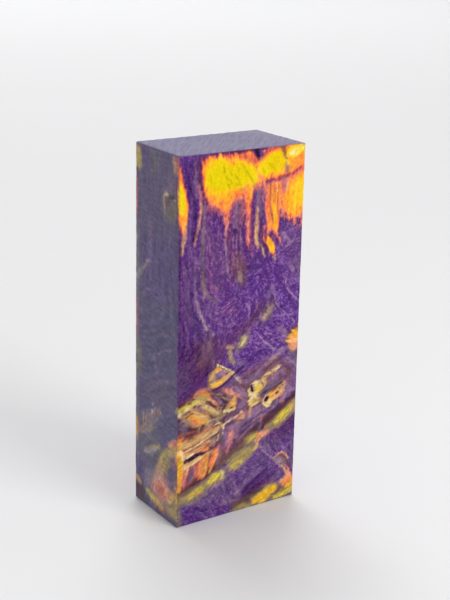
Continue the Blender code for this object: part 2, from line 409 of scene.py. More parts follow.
# A streak is a dye or stain, softness, strength and a line of (around, up, half its width)
FRONT_STREAKS = [
    # top edge
    ("maroon", 1.0, 0.9, [(9, 131.4, 0.6), (14, 131.4, 0.8), (20, 131, 1.0), (29, 131.2, 1.0),
        (38, 131.6, 0.5), (51, 131.6, 0.3)]),
    ("rust", 1.4, 0.6, [(25, 128, 0.5), (28, 127, 0.8), (31, 127, 0.6), (33, 128, 0.4)]),
    ("ink", 0.9, 0.9, [(29.8, 131, 1.1), (30.2, 128.8, 0.8), (30.8, 127.2, 0.3)]),
    ("red", 1.6, 0.75, [(12, 129.8, 0.4), (18, 129.4, 0.4), (24.4, 128.6, 0.7), (27.4, 127.6, 1.3),
        (29.4, 126.4, 0.8)]),
    ("red", 1.0, 0.9, [(33, 129.6, 0.5), (35.6, 130.2, 0.8), (38, 130.6, 0.4)]),
    ("brown", 1.0, 0.85, [(40.4, 131, 1.1), (41, 128.6, 0.7), (42.2, 126.4, 0.3)]),
    ("slate", 1.4, 0.75, [(42, 124.6, 0.4), (42.6, 123, 0.9), (42.8, 121.4, 0.6)]),
    ("orange", 1.8, 0.9, [(44, 125.6, 0.6), (46.6, 124.8, 1.4), (49.4, 125.6, 0.7)]),
    ("cream", 1.0, 0.7, [(44, 128.2, 0.7), (46, 128.8, 0.5), (48.4, 130.2, 0.2)]),
    ("cream", 0.6, 0.5, [(46.6, 127.8, 0.2), (50.2, 130.2, 0.25)]),
    ("moss", 0.6, 0.7, [(45.8, 128.4, 0.12), (49.6, 130.8, 0.2)]),
    ("moss", 0.8, 0.6, [(49.9, 130, 0.4), (50.2, 123, 0.3)]),
    # grey and dark lines of the purple band beside the left patch
    ("slate", 1.2, 0.35, [(5.8, 131, 0.3), (5.8, 127, 0.4), (5, 116, 0.4), (4.4, 105, 0.3),
        (4.2, 98, 0.2)]),
    ("deep", 1.2, 0.6, [(1.6, 129, 0.6), (4, 121, 0.7), (6.2, 114, 0.8), (5.6, 106, 0.8),
        (5.2, 101, 0.5)]),
    ("mauve", 1.4, 0.3, [(6.2, 126, 0.3), (6.8, 121, 0.7), (7.2, 117, 0.4)]),
    ("maroon", 1.0, 0.85, [(7.7, 131, 0.3), (7.9, 125, 0.4), (8.2, 120, 0.5), (9, 116.6, 0.5),
        (10.7, 114.4, 0.4)]),
    ("maroon", 0.6, 0.7, [(9.6, 130.6, 0.3), (9.5, 127.6, 0.2)]),
    ("orange", 0.8, 0.7, [(9.2, 127, 0.3), (9.3, 124, 0.4)]),
    ("rose", 1.2, 0.65, [(7.4, 121, 0.3), (8.2, 117, 0.6), (8.4, 112, 0.6)]),
    ("peach", 1.1, 0.45, [(8.7, 115, 0.3), (8.2, 110.6, 0.6), (7.4, 107, 0.5), (6.4, 103, 0.4),
        (6, 100.6, 0.2)]),
    ("brown", 0.6, 0.7, [(9.3, 116, 0.15), (9.1, 111.4, 0.3), (8.2, 107, 0.2)]),
    ("heather", 1.2, 0.6, [(10, 115, 0.3), (9.8, 110, 0.6), (9.6, 105, 0.5), (9.4, 98, 0.3)]),
    # the left patch's tail
    ("tan", 1.2, 0.8, [(2.4, 109, 0.6), (2, 105, 0.7), (1.6, 101.6, 0.5), (1.2, 98.6, 0.3)]),
    ("orange", 1.0, 0.7, [(2.4, 109, 0.5), (1.8, 105, 0.4), (1.5, 102, 0.2)]),
    ("maroon", 0.9, 0.6, [(0.2, 106, 0.4), (0.4, 102, 0.4), (0.3, 97, 0.3)]),
    # dark dashes in the yellow
    ("moss", 0.5, 0.9, [(16.8, 126.4, 0.1), (17.2, 124.6, 0.3), (17.4, 123.6, 0.15)]),
    ("moss", 0.5, 0.9, [(17.6, 123.2, 0.1), (18.2, 122, 0.3), (18.8, 121.2, 0.12)]),
    ("moss", 0.5, 0.8, [(18.4, 120.4, 0.12), (19, 119.4, 0.3), (19.4, 118.4, 0.15)]),
    ("moss", 0.5, 0.7, [(19.4, 121.6, 0.12), (20, 120.6, 0.25), (20.6, 120, 0.12)]),
    ("moss", 0.6, 0.6, [(21.4, 120.2, 0.15), (22.6, 119.4, 0.3), (23.8, 119.2, 0.15)]),
    ("moss", 0.5, 0.8, [(19.2, 124.6, 0.1), (19.8, 123.4, 0.25), (20.2, 122.6, 0.12)]),
    ("moss", 0.5, 0.8, [(21.4, 123, 0.1), (22.2, 121.8, 0.3), (23.2, 121, 0.12)]),
    ("moss", 0.5, 0.6, [(22, 125.8, 0.1), (22.8, 124.6, 0.25), (23.4, 124, 0.1)]),
    ("moss", 0.5, 0.7, [(22.6, 121.4, 0.12), (23.4, 119.6, 0.25), (24, 118.6, 0.1)]),
    ("moss", 0.5, 0.9, [(26.4, 123.6, 0.12), (27.2, 122, 0.3), (28, 120.8, 0.2), (28.8, 119.4, 0.2)]),
    ("moss", 0.6, 0.5, [(11.6, 124, 0.12), (12, 122, 0.3), (12.6, 120.6, 0.12)]),
    ("moss", 1.0, 0.5, [(23.6, 126.4, 0.3), (25.4, 124.4, 0.5), (26, 122, 0.3)]),
    ("moss", 0.5, 0.6, [(32.4, 124, 0.12), (33.4, 122.4, 0.25)]),
    ("moss", 1.0, 0.5, [(34.6, 125.4, 0.3), (36.4, 124, 0.6), (38, 122.4, 0.3)]),
    ("sage", 1.6, 0.7, [(24.6, 117.6, 0.3), (27.4, 117.4, 0.7), (29.4, 118.4, 0.5),
        (33.6, 119.4, 0.4)]),
    ("salmon", 1.2, 0.8, [(31.2, 121.6, 0.5), (32, 120.4, 0.8), (32.8, 119.6, 0.5)]),
    # fingers under the big patch
    ("salmon", 2.4, 0.6, [(24.6, 116, 0.8), (25.4, 112, 0.9), (25.6, 108, 0.5)]),
    ("mauve", 1.6, 0.4, [(22, 114, 0.5), (22.3, 112, 0.9), (22.2, 105, 0.6)]),
    ("rose", 1.6, 0.4, [(24.6, 114, 0.8), (24.6, 110, 0.8), (24.4, 106, 0.4)]),
    ("brown", 1.2, 0.5, [(22.8, 114, 0.4), (23.2, 108, 0.4), (23, 102, 0.2)]),
    ("salmon", 1.0, 0.7, [(26.6, 112, 0.4), (27, 104, 0.5), (27.2, 99, 0.4)]),
    ("orange", 1.2, 0.8, [(26.4, 118, 1.4), (26.8, 114, 1.0), (27.2, 110, 0.4)]),
    ("gold", 1.2, 0.8, [(28, 118, 0.8), (28.2, 115.4, 0.5), (28, 113, 0.2)]),
    ("rose", 0.8, 0.85, [(18.5, 108, 0.5), (18.3, 104, 0.35), (18.1, 100, 0.3)]),
    ("peach", 0.7, 0.5, [(18.4, 106, 0.2), (18.3, 101, 0.2), (18.2, 98, 0.15)]),
    ("mauve", 0.8, 0.8, [(18.2, 101, 0.3), (18.4, 95, 0.4), (19.2, 91, 0.3), (20.2, 88, 0.15)]),
    ("brown", 0.8, 0.5, [(19, 104, 0.2), (19.4, 98, 0.3), (20.4, 91, 0.2)]),
    ("mauve", 0.5, 0.5, [(21.2, 109, 0.15), (21.1, 100, 0.2), (21.8, 92, 0.1)]),
    ("mauve", 0.5, 0.5, [(22.7, 103, 0.15), (22.8, 97, 0.2), (23.4, 91, 0.1)]),
    ("mauve", 0.5, 0.5, [(24, 107, 0.15), (24.1, 100, 0.2), (24.8, 94, 0.1)]),
    ("sand", 1.6, 0.7, [(24, 89.4, 0.3), (24.4, 87.4, 0.7), (24.9, 85.6, 0.4)]),
    # red line across the top right
    ("wine", 1.2, 0.7, [(29.4, 117, 0.4), (34, 119, 0.5), (37, 120, 0.5), (40, 119.8, 0.5)]),
    ("red", 1.0, 0.9, [(37, 120.6, 0.3), (42.6, 120.8, 0.5), (47.6, 122.6, 0.5), (50.6, 123.8, 0.4)]),
    ("maroon", 0.8, 0.4, [(39, 120.4, 0.3), (43.2, 120.7, 0.3), (46.6, 121.9, 0.2)]),
    # dark columns between the warm ones
    ("plum", 1.2, 0.8, [(29.3, 115.6, 0.6), (29.1, 110, 0.9), (28.9, 103, 0.8), (29.2, 98, 0.4)]),
    ("mauve", 1.2, 0.35, [(30.6, 116.4, 0.6), (31.2, 115, 0.6), (31, 112, 0.4)]),
    ("salmon", 1.4, 0.8, [(30.4, 118.2, 0.5), (33.2, 118.2, 0.8), (33, 116.4, 0.4)]),
    ("plum", 1.2, 0.8, [(32.6, 116.6, 0.4), (32.6, 112, 0.8), (32.4, 106, 0.7), (32.6, 101, 0.4)]),
    ("rose", 1.6, 0.45, [(29.6, 117, 0.5), (32.6, 116.4, 0.8), (32.8, 113, 0.5)]),
    ("slate", 1.4, 0.55, [(30.4, 116, 0.4), (31.6, 112.6, 0.8), (32.4, 108, 0.6)]),
    ("tan", 1.0, 0.9, [(30.6, 110.6, 0.3), (30.7, 106, 0.6), (30.6, 102, 0.7), (30.8, 99, 0.6),
        (31.4, 97, 0.3)]),
    ("peach", 0.7, 0.6, [(30.3, 106, 0.2), (30.1, 102, 0.3), (30.4, 98.6, 0.2)]),
    ("brown", 1.4, 0.5, [(32.2, 103, 0.3), (32.8, 98.6, 0.7), (34, 94.4, 0.6)]),
    ("tan", 0.9, 0.8, [(32.6, 97.6, 0.15), (33.5, 95.2, 0.3), (34.4, 93.2, 0.2)]),
    ("ink", 0.7, 0.5, [(33.4, 99, 0.3), (34.6, 96.4, 0.3), (35.4, 94, 0.2)]),
    ("brown", 0.6, 0.9, [(35.9, 118.4, 0.25), (35.8, 115, 0.25), (35.9, 112.6, 0.15)]),
    ("rust", 0.5, 0.9, [(35.6, 112.6, 0.15), (36.3, 109, 0.3), (37, 106.6, 0.3), (37.3, 104.6, 0.15)]),
    # dark line along the groove here: partly dark bark, partly painted shade
    ("bark", 0.3, 0.7, [(36, 110.6, 0.08), (36.6, 108, 0.12), (37.1, 106, 0.1)]),
    ("rust", 0.5, 0.9, [(38.9, 116.4, 0.15), (39, 112.6, 0.25), (38.9, 109, 0.12)]),
    ("cream", 0.5, 0.7, [(38.4, 118.4, 0.2), (38.7, 115.6, 0.2)]),
    ("rust", 0.5, 0.8, [(37.3, 118.4, 0.15), (37.4, 115, 0.25), (37.2, 112, 0.12)]),
    ("rose", 1.4, 0.85, [(41, 119.2, 0.8), (41.4, 116.8, 0.9), (41.2, 115, 0.4)]),
    ("salmon", 1.0, 0.7, [(33.8, 104, 0.3), (33.8, 100, 0.7), (34.4, 98, 0.3)]),
    ("salmon", 0.9, 0.9, [(38.6, 101.4, 0.3), (39.8, 99.8, 0.5), (41, 97.4, 0.2)]),
    ("gold", 1.0, 1.0, [(35.6, 99.6, 0.7), (36.6, 97, 1.2), (37.8, 94.8, 0.6)]),
    ("tan", 1.0, 0.6, [(38.2, 93, 0.4), (38.6, 92, 0.4)]),
    ("salmon", 1.2, 0.6, [(37.2, 101.6, 0.5), (38.6, 99.8, 0.6)]),
    ("salmon", 1.2, 0.6, [(40.8, 106.6, 0.4), (43.4, 105.8, 0.5)]),
    ("plum", 1.0, 0.5, [(40.2, 105, 0.4), (41.6, 102.8, 0.5), (42.6, 105.4, 0.4), (44.4, 103.6, 0.3)]),
    ("rose", 0.7, 0.8, [(40.8, 109, 0.3), (41.2, 106.6, 0.3), (42, 105, 0.2)]),
    ("plum", 0.9, 0.8, [(47, 105.4, 0.3), (48.2, 104.6, 0.6), (48.8, 104.8, 0.3)]),
    # swirl at the right
    ("lilac", 1.4, 0.5, [(39.6, 92, 0.3), (41, 90.6, 0.5), (44, 93.6, 0.6), (47.6, 95, 0.5)]),
    ("mauve", 1.2, 0.5, [(41.6, 101, 0.6), (42.6, 99.6, 0.7), (44.6, 97.6, 0.4)]),
    ("deep", 1.2, 0.6, [(43, 92.6, 0.5), (45.6, 91.4, 0.7), (48, 92.6, 0.5)]),
    ("slate", 1.4, 0.6, [(45.6, 88, 0.4), (47, 90.6, 0.6), (48.6, 88, 0.6), (48.4, 84.6, 0.4)]),
    ("ink", 1.4, 0.2, [(39.4, 86.2, 0.6), (41.2, 84.2, 0.8), (40.6, 81.6, 0.4)]),
    ("mauve", 1.0, 0.4, [(43, 96, 0.2), (46.6, 97.4, 0.4), (50.4, 96, 0.3)]),
    # long lines of the middle that bend to the right
    ("sage", 2.0, 0.5, [(9, 106, 0.5), (9, 97, 0.6), (9.4, 91, 0.8), (10, 86, 1.0), (11.4, 83, 0.7),
        (15, 80.4, 0.5)]),
    ("tan", 1.2, 0.14, [(9.4, 90, 0.3), (10, 86, 0.5), (11.2, 83.6, 0.4), (14, 81.4, 0.3)]),
    ("mauve", 1.4, 0.42, [(6, 97, 0.3), (6.4, 86, 0.6), (7.6, 80, 0.6), (9.4, 75.6, 0.6),
        (11.6, 71.6, 0.7), (14.4, 69, 0.5)]),
    ("sand", 0.9, 0.2, [(6.8, 85, 0.2), (7.6, 80, 0.3), (8.8, 76.4, 0.4), (10.2, 72.8, 0.3),
        (12, 70.4, 0.2)]),
    ("chalk", 0.6, 0.5, [(8.8, 77, 0.15), (10, 73.8, 0.25), (11.8, 71, 0.15), (14, 68.6, 0.2)]),
    ("slate", 1.4, 0.5, [(2.6, 94, 0.3), (3.6, 86, 0.4), (5, 78, 0.4), (7.8, 70.6, 0.3)]),
    ("slate", 1.6, 0.25, [(10.4, 72, 0.5), (10.2, 66, 0.8), (10.4, 61, 0.4)]),
    ("sage", 1.8, 0.2, [(13, 69, 0.4), (13, 64, 0.8), (14, 59.6, 0.8), (15.2, 57.6, 0.3)]),
    ("mauve", 0.7, 0.6, [(27.6, 77.6, 0.15), (28.4, 75.6, 0.2), (28.2, 70.6, 0.2)]),
    ("mauve", 2.0, 0.4, [(36, 79, 0.8), (37.6, 82, 0.9), (38.8, 80, 0.5)]),
    # blobs of old gold along the dark diagonal
    ("sand", 2.0, 0.6, [(37.8, 75, 0.3), (36.6, 73.4, 0.9), (35, 71.8, 0.9)]),
    ("tan", 1.6, 0.3, [(35.8, 72.6, 0.5), (34.9, 71.6, 0.4)]),
    ("mauve", 0.5, 0.7, [(32.6, 71.8, 0.12), (34, 70.8, 0.2), (35.2, 70.2, 0.1)]),
    ("umber", 2.0, 0.35, [(33, 75.6, 0.8), (31.4, 73, 1.0), (28.6, 70.4, 0.9), (26, 68, 0.7)]),
    ("sage", 2.4, 0.8, [(28.2, 66.8, 0.8), (26.6, 64.6, 1.8), (24.6, 62.4, 0.9), (21.8, 62.8, 0.4)]),
    ("olive", 1.8, 0.7, [(27.2, 65.8, 0.5), (26.3, 64.4, 1.1), (25.6, 62.8, 0.6)]),
    ("cream", 1.6, 0.6, [(26.8, 65.2, 0.4), (25.9, 63.6, 0.5)]),
    ("olive", 1.6, 0.6, [(20.6, 62, 0.6), (21.6, 59, 0.9), (22.9, 56.4, 0.4)]),
    ("tan", 1.6, 0.6, [(19.8, 63.4, 0.5), (21.8, 62.6, 0.6)]),
    # pale lines at the right
    ("mauve", 0.6, 0.9, [(38.6, 80.6, 0.12), (39.2, 77.6, 0.3), (41.4, 73.8, 0.2),
        (46.4, 69.2, 0.15), (50, 66, 0.1)]),
    ("mauve", 0.8, 0.7, [(43.4, 85, 0.2), (43.7, 81.6, 0.3), (45.4, 79, 0.3), (48, 76.6, 0.3),
        (50.4, 75, 0.5)]),
    ("mauve", 0.5, 0.8, [(31.8, 65.8, 0.15), (35.4, 62.6, 0.2), (38.8, 59.4, 0.2), (41, 58.4, 0.2),
        (43.4, 59, 0.2)]),
    ("slate", 0.5, 0.6, [(36, 61.4, 0.1), (38.8, 58.9, 0.15), (41.6, 57.8, 0.15)]),
    ("mauve", 0.5, 0.4, [(35.4, 65.2, 0.12), (41, 60.6, 0.12)]),
    ("mauve", 2.0, 0.6, [(41.4, 66.6, 0.8), (43.6, 65, 1.0), (44.6, 62.6, 0.6)]),
    ("ink", 1.0, 0.6, [(44.7, 58.6, 0.3), (44.9, 56.6, 0.4)]),
    ("mauve", 0.6, 0.95, [(44.6, 55.2, 0.2), (47.4, 53, 0.3), (49.4, 50.8, 0.3), (50.6, 48.6, 0.25)]),
    ("mauve", 1.6, 0.6, [(39.6, 37.4, 0.6), (43, 39.4, 0.7), (48, 42.6, 0.9)]),
    ("slate", 2.4, 0.8, [(46.4, 57, 0.8), (49.4, 54, 1.6), (50.4, 50.6, 1.0)]),
    ("mauve", 2.0, 0.6, [(36, 54.4, 0.6), (40, 56.4, 1.0), (44, 58.6, 0.8)]),
    ("tan", 1.2, 0.5, [(38, 55.2, 0.4), (40.2, 56, 0.5)]),
    ("umber", 1.6, 0.7, [(36, 51.4, 0.5), (40, 53.6, 0.8), (43, 55.6, 0.6)]),
    # crack with gold on it
    ("brown", 1.6, 0.8, [(12, 51.4, 0.6), (13.6, 54, 1.4), (16, 56.8, 1.0)]),
    ("tan", 1.4, 0.9, [(12.6, 52.6, 0.6), (14, 54, 1.3), (15.6, 55.4, 0.8)]),
    ("heather", 1.4, 0.9, [(15.4, 53, 0.8), (18, 54, 1.1), (20.6, 54.4, 0.5)]),
    ("amber", 1.2, 0.8, [(15, 55.8, 0.4), (16.4, 56.2, 0.8), (17.6, 55.6, 0.4)]),
    ("olive", 1.0, 0.6, [(13.4, 52.4, 0.4), (14.6, 52.8, 0.6)]),
    ("slate", 0.9, 0.8, [(15.4, 54.2, 0.5), (16.4, 53.2, 0.5)]),
    ("mauve", 0.8, 0.8, [(17.2, 54.2, 0.5), (18.6, 54, 0.6), (19.6, 54, 0.3)]),
    ("tan", 1.2, 0.95, [(12.6, 50.4, 0.5), (15, 50.6, 1.0), (18.6, 51.9, 1.1), (22.2, 53.6, 0.6)]),
    ("amber", 1.0, 0.95, [(13.4, 50, 0.5), (15.6, 50.5, 0.9), (18.6, 51.6, 0.6)]),
    ("corn", 0.8, 0.5, [(14.2, 50.4, 0.4), (17.6, 51.2, 0.4)]),
    ("cream", 0.45, 0.95, [(15.8, 57.8, 0.2), (19, 55.8, 0.35), (22.4, 53.4, 0.4)]),
    ("peach", 0.4, 0.9, [(16.6, 56.6, 0.2), (19, 54.9, 0.25), (21.4, 53.2, 0.2)]),
    ("bark", 0.3, 0.9, [(16.4, 57.1, 0.1), (18.6, 55.6, 0.15), (21, 53.9, 0.1)]),
    ("cream", 0.9, 0.5, [(22.6, 53, 0.4), (24, 51.2, 0.4), (25.4, 49.4, 0.3)]),
    ("mauve", 0.8, 0.7, [(23.4, 53, 0.3), (25.2, 51, 0.4), (26.6, 49.4, 0.2)]),
    # dark line along the crack's groove: partly dark filling, partly painted shade
    ("ink", 0.8, 0.9, [(13.4, 48.6, 0.3), (17, 49.2, 0.4), (20, 50.8, 0.35), (25, 54.2, 0.4),
        (26.6, 55, 0.2)]),
    ("mauve", 2.0, 0.4, [(24, 57, 0.8), (27.6, 55.8, 1.0)]),
    ("deep", 1.2, 0.7, [(26, 54.8, 0.4), (30, 57.2, 0.5), (33.6, 59.6, 0.3)]),
    # gold comb on the left edge
    ("deep", 2.4, 0.7, [(-0.6, 48.4, 1.2), (3, 48.8, 1.6), (5, 51, 1.2)]),
    ("rose", 1.4, 0.7, [(6.6, 48.6, 0.4), (9, 49.6, 0.7), (13, 48.8, 0.5)]),
    ("plum", 1.2, 0.7, [(4, 49.4, 0.6), (6.6, 49.8, 0.9), (9, 51, 0.6)]),
    ("tan", 1.2, 0.8, [(7, 47.4, 0.3), (9.2, 48, 0.8), (11, 47.6, 0.8)]),
    ("flame", 0.8, 0.8, [(6.6, 48, 0.2), (8.8, 49, 0.5), (11, 48.8, 0.5), (12.8, 47.4, 0.4)]),
    ("amber", 1.0, 0.7, [(9.6, 47.6, 0.4), (12, 47, 0.7), (13.6, 46, 0.5)]),
    ("olive", 1.4, 0.95, [(0.6, 43.6, 0.8), (3.4, 44.6, 1.0), (6.6, 45.6, 1.1), (9.6, 46, 1.1),
        (11.6, 46, 0.6)]),
    ("lemon", 1.2, 0.6, [(1, 43.8, 0.5), (3.6, 44.6, 0.6), (8.6, 46, 0.5)]),
    ("cream", 1.2, 0.65, [(-0.6, 41.8, 0.8), (2.4, 43, 0.6), (5.2, 43.8, 0.4)]),
    ("tan", 1.0, 0.8, [(7.6, 45, 0.4), (10.4, 45.4, 0.7)]),
    ("bark", 0.7, 0.8, [(4.2, 45.8, 0.15), (5.4, 45.6, 0.35)]),
    ("tan", 1.0, 0.9, [(5.4, 43.8, 0.7), (6.6, 42.4, 0.8), (8, 41, 0.6)]),
    ("tan", 0.8, 0.8, [(9.4, 43.4, 0.4), (11.4, 42, 0.5), (13.4, 40.4, 0.3)]),
    ("slate", 0.7, 0.85, [(8, 44.4, 0.25), (9.4, 42.9, 0.4), (11, 41.6, 0.2)]),
    ("tan", 0.7, 0.95, [(9.6, 44.6, 0.25), (12.6, 42.4, 0.5), (16.2, 39.4, 0.35)]),
    ("cream", 0.5, 0.7, [(11, 43.8, 0.15), (13.4, 42, 0.25), (16.4, 39.4, 0.2)]),
    ("amber", 0.6, 0.7, [(11, 43, 0.2), (13.4, 41.2, 0.4), (15, 39.8, 0.2)]),
    ("bark", 0.5, 0.8, [(10.4, 42.8, 0.12), (13.4, 40.4, 0.25), (16.6, 38.7, 0.2)]),
    ("rose", 0.9, 0.9, [(12.8, 46, 0.4), (15, 44, 0.6), (17.6, 41.6, 0.4)]),
    ("peach", 0.6, 0.7, [(13.6, 45.2, 0.2), (15.6, 43, 0.35), (17, 41.6, 0.2)]),
    ("mauve", 0.9, 0.7, [(15.4, 46.4, 0.4), (17, 44.4, 0.5), (18.6, 42, 0.4)]),
    ("bark", 0.5, 0.7, [(11.8, 44.6, 0.1), (14.6, 42.4, 0.25), (17, 40.2, 0.15)]),
    ("amber", 1.2, 1.0, [(4.8, 41, 0.5), (7.4, 40, 1.2), (10, 38.6, 1.4), (12.2, 37.4, 0.8)]),
    ("flame", 1.2, 0.8, [(6, 39.6, 0.5), (7.6, 38.4, 1.0), (9.4, 37.6, 0.6)]),
    ("tan", 0.7, 0.6, [(6.4, 40.8, 0.3), (9, 40.2, 0.3), (11.6, 38.4, 0.3)]),
    ("bark", 1.8, 0.65, [(3.6, 33.8, 0.5), (6.6, 34.2, 0.8), (10, 35, 0.7)]),
    ("coral", 1.2, 0.8, [(4.6, 39.2, 0.6), (6.8, 37.4, 0.8)]),
    ("slate", 2.0, 0.7, [(-0.4, 38.4, 1.2), (2.4, 37.8, 1.4), (3, 35.6, 1.0)]),
    ("slate", 1.4, 0.7, [(12.4, 36.6, 0.4), (14.2, 37.2, 0.8), (15.4, 38, 0.4)]),
    ("rose", 0.5, 0.8, [(12, 37.4, 0.2), (12.8, 35.4, 0.25), (13.2, 34, 0.2)]),
    ("umber", 1.2, 0.8, [(13, 38.4, 0.3), (14.8, 38.6, 0.4), (18, 39.2, 1.1), (17.6, 42, 0.8)]),
    ("peach", 1.4, 0.5, [(12.4, 46.4, 0.5), (14.4, 44.8, 0.5)]),
    # eyes of the burl
    ("mauve", 2.4, 0.5, [(24, 47.6, 1.0), (27, 44, 1.2), (26, 40, 1.0)]),
    ("rose", 1.2, 0.9, [(18.6, 48.4, 0.5), (20.6, 47, 1.0), (23.4, 45.4, 0.7), (25.6, 43.6, 0.3)]),
    ("peach", 0.9, 0.7, [(19.2, 48, 0.4), (21.4, 46.6, 0.6), (24.4, 44.8, 0.3)]),
    ("tan", 1.4, 0.9, [(23.4, 44, 0.9), (22.4, 42.4, 1.3), (20.6, 40.8, 0.9)]),
    ("amber", 1.0, 0.8, [(23, 43.6, 0.6), (22.4, 42, 1.0), (21.4, 41.4, 0.6)]),
    ("cream", 0.8, 0.95, [(23.2, 40, 0.4), (21, 39.8, 0.6), (19.2, 40.1, 0.5)]),
    ("lemon", 0.6, 0.8, [(21, 40.6, 0.25), (22.8, 40.7, 0.3)]),
    ("ink", 0.8, 0.5, [(25.4, 43, 0.2), (24.6, 41, 0.3), (23.6, 39.6, 0.2)]),
    ("slate", 2.0, 0.6, [(29.4, 50.4, 0.8), (32.8, 50.8, 1.0)]),
    ("tan", 1.2, 0.9, [(36.2, 47.4, 1.0), (34, 47, 1.4), (31.6, 46, 2.0), (30.6, 44, 1.5)]),
    ("cream", 1.0, 0.9, [(35.4, 47.6, 0.5), (32, 47.8, 0.6), (29.4, 45.6, 0.7), (30.6, 43.8, 1.0),
        (33, 43.2, 0.5)]),
    ("lemon", 1.0, 0.95, [(33.8, 46.2, 0.7), (32.9, 45.4, 1.1), (32, 44.8, 0.5)]),
    ("cream", 1.2, 0.95, [(32.8, 42.6, 0.5), (31, 42.4, 0.8), (29.8, 41, 0.8), (31, 39.9, 0.5),
        (32.8, 40.4, 0.3)]),
    ("lemon", 0.9, 0.6, [(30, 41.8, 0.4), (30.4, 40.4, 0.5), (32.4, 40.6, 0.3)]),
    ("olive", 0.8, 0.9, [(31, 41.8, 0.4), (32.2, 41.2, 0.5)]),
    ("sand", 1.2, 0.5, [(34, 48, 0.8), (36, 47, 0.8)]),
    ("brown", 0.5, 0.8, [(34, 48, 0.15), (35.2, 47, 0.25), (35.2, 45.8, 0.15)]),
    ("brown", 0.5, 0.7, [(36.4, 48.4, 0.15), (37, 47, 0.25), (36.4, 45.6, 0.15)]),
    ("ink", 0.5, 0.8, [(29, 46.4, 0.12), (29.4, 47.8, 0.15), (30.6, 48.4, 0.12)]),
    ("tan", 1.0, 0.8, [(34.8, 49.2, 0.5), (37, 50, 0.9), (40.2, 51.2, 0.9), (42.4, 52.4, 0.4)]),
    ("cream", 0.7, 0.7, [(35, 49.6, 0.3), (37.6, 50.6, 0.4)]),
    ("cream", 0.7, 0.7, [(39, 51, 0.3), (41.6, 52, 0.4)]),
    ("brown", 0.6, 0.7, [(34.2, 50, 0.2), (36.6, 49.4, 0.3), (38.4, 49.6, 0.2)]),
    ("brown", 0.5, 0.7, [(38, 51.4, 0.2), (40, 50.2, 0.25)]),
    ("slate", 1.4, 0.85, [(33, 43, 0.4), (35.4, 44.4, 0.8), (38.4, 45.4, 0.7), (41.6, 46.6, 0.5)]),
    # dark line along the groove here: partly dark filling, partly painted shade
    ("ink", 0.8, 0.9, [(33, 42.4, 0.3), (36, 43.6, 0.35), (40, 44.7, 0.35), (43.6, 45.8, 0.2)]),
    ("tan", 1.2, 0.6, [(33.6, 41.6, 0.5), (35, 40.6, 0.5)]),
    ("cream", 0.9, 0.95, [(38.6, 39, 0.6), (37, 38.9, 1.0), (35.9, 40.4, 0.7), (36.4, 41.8, 0.4)]),
    ("peach", 0.7, 0.5, [(37.8, 38.4, 0.4), (36.2, 39.2, 0.4)]),
    ("amber", 1.1, 1.0, [(37.8, 41, 1.2), (39.6, 41.8, 1.4), (41.2, 42.8, 1.0)]),
    ("cream", 0.9, 0.6, [(38.4, 40, 0.4), (40, 40.8, 0.5)]),
    ("tan", 1.0, 0.85, [(41.4, 43.4, 0.7), (43.2, 44.6, 0.7), (44.6, 45.6, 0.5)]),
    ("brown", 0.5, 0.8, [(42, 43.2, 0.2), (42.6, 44.2, 0.3)]),
    ("brown", 0.6, 0.95, [(41, 41.9, 0.3), (41.5, 42.5, 0.4)]),
    ("peach", 1.4, 0.8, [(41, 40.8, 0.6), (43.2, 41.6, 0.9), (44.4, 42.6, 0.5)]),
    ("rose", 1.0, 0.8, [(43, 38.6, 0.4), (43.8, 38.4, 0.5)]),
    ("mauve", 2.4, 0.6, [(44.6, 40.6, 0.8), (46, 43.4, 1.2), (45.4, 46, 0.8)]),
    ("tan", 1.4, 0.6, [(29.8, 40, 0.6), (30, 37.6, 0.7), (29.6, 35.6, 0.4)]),
    # dark and light lines under the eyes
    ("umber", 2.0, 0.8, [(50.4, 40.4, 0.7), (45.6, 37, 0.9), (41, 34.6, 1.2), (36, 32, 1.4),
        (31, 29.8, 0.9)]),
    ("slate", 0.9, 0.8, [(26.8, 31.6, 0.3), (31, 33.6, 0.4), (36, 35.4, 0.4), (41.6, 37.4, 0.3)]),
    ("mauve", 0.6, 0.8, [(28.6, 33.2, 0.2), (33, 34.4, 0.25), (37, 35.8, 0.2), (43, 38.6, 0.15)]),
    ("rose", 0.9, 0.7, [(34.3, 33, 0.4), (34.8, 34.2, 0.4)]),
    ("deep", 1.4, 0.7, [(26, 33, 0.5), (28.6, 33.8, 0.7), (31, 34.4, 0.4)]),
    ("slate", 1.2, 0.8, [(34.6, 32, 0.5), (34.4, 29.8, 0.6)]),
    # parallel streaks from the left edge, among them pale lines with thin dark lines beside them that
    # are partly wood colour and partly painted highlight and painted shade on fine fissures
    ("flame", 1.2, 0.8, [(-0.6, 33.2, 0.7), (1.4, 33, 0.4), (2.4, 33.4, 0.2)]),
    ("amber", 1.0, 1.0, [(-0.6, 31.6, 0.8), (1.4, 31.4, 0.7), (3, 31.4, 0.3)]),
    ("cream", 0.8, 0.8, [(-0.6, 30, 0.4), (4, 30.6, 0.4), (6.6, 31.4, 0.3)]),
    ("olive", 1.2, 0.9, [(2.6, 30.8, 0.6), (6, 31.3, 0.9), (9.6, 32.2, 0.9), (12.6, 33.2, 0.7)]),
    ("tan", 1.2, 0.9, [(9, 31.6, 0.6), (13, 33, 0.9), (16, 34, 0.9), (18, 34.4, 0.6)]),
    ("cream", 0.6, 0.8, [(14.6, 35.6, 0.25), (16.8, 36.1, 0.35), (18.5, 35.2, 0.3), (18.8, 33.8, 0.2)]),
    ("bark", 0.5, 0.7, [(15.4, 35.2, 0.12), (17, 35.4, 0.2), (17.8, 34, 0.15)]),
    ("tan", 1.4, 0.8, [(3, 30, 0.5), (8, 31, 0.6), (12, 32.4, 0.5)]),
    # From here to the faint bark line below: pale cream and peach lines with thin dark bark lines beside
    # them, partly wood colour, partly painted highlight and painted shade on the edges of fine fissures
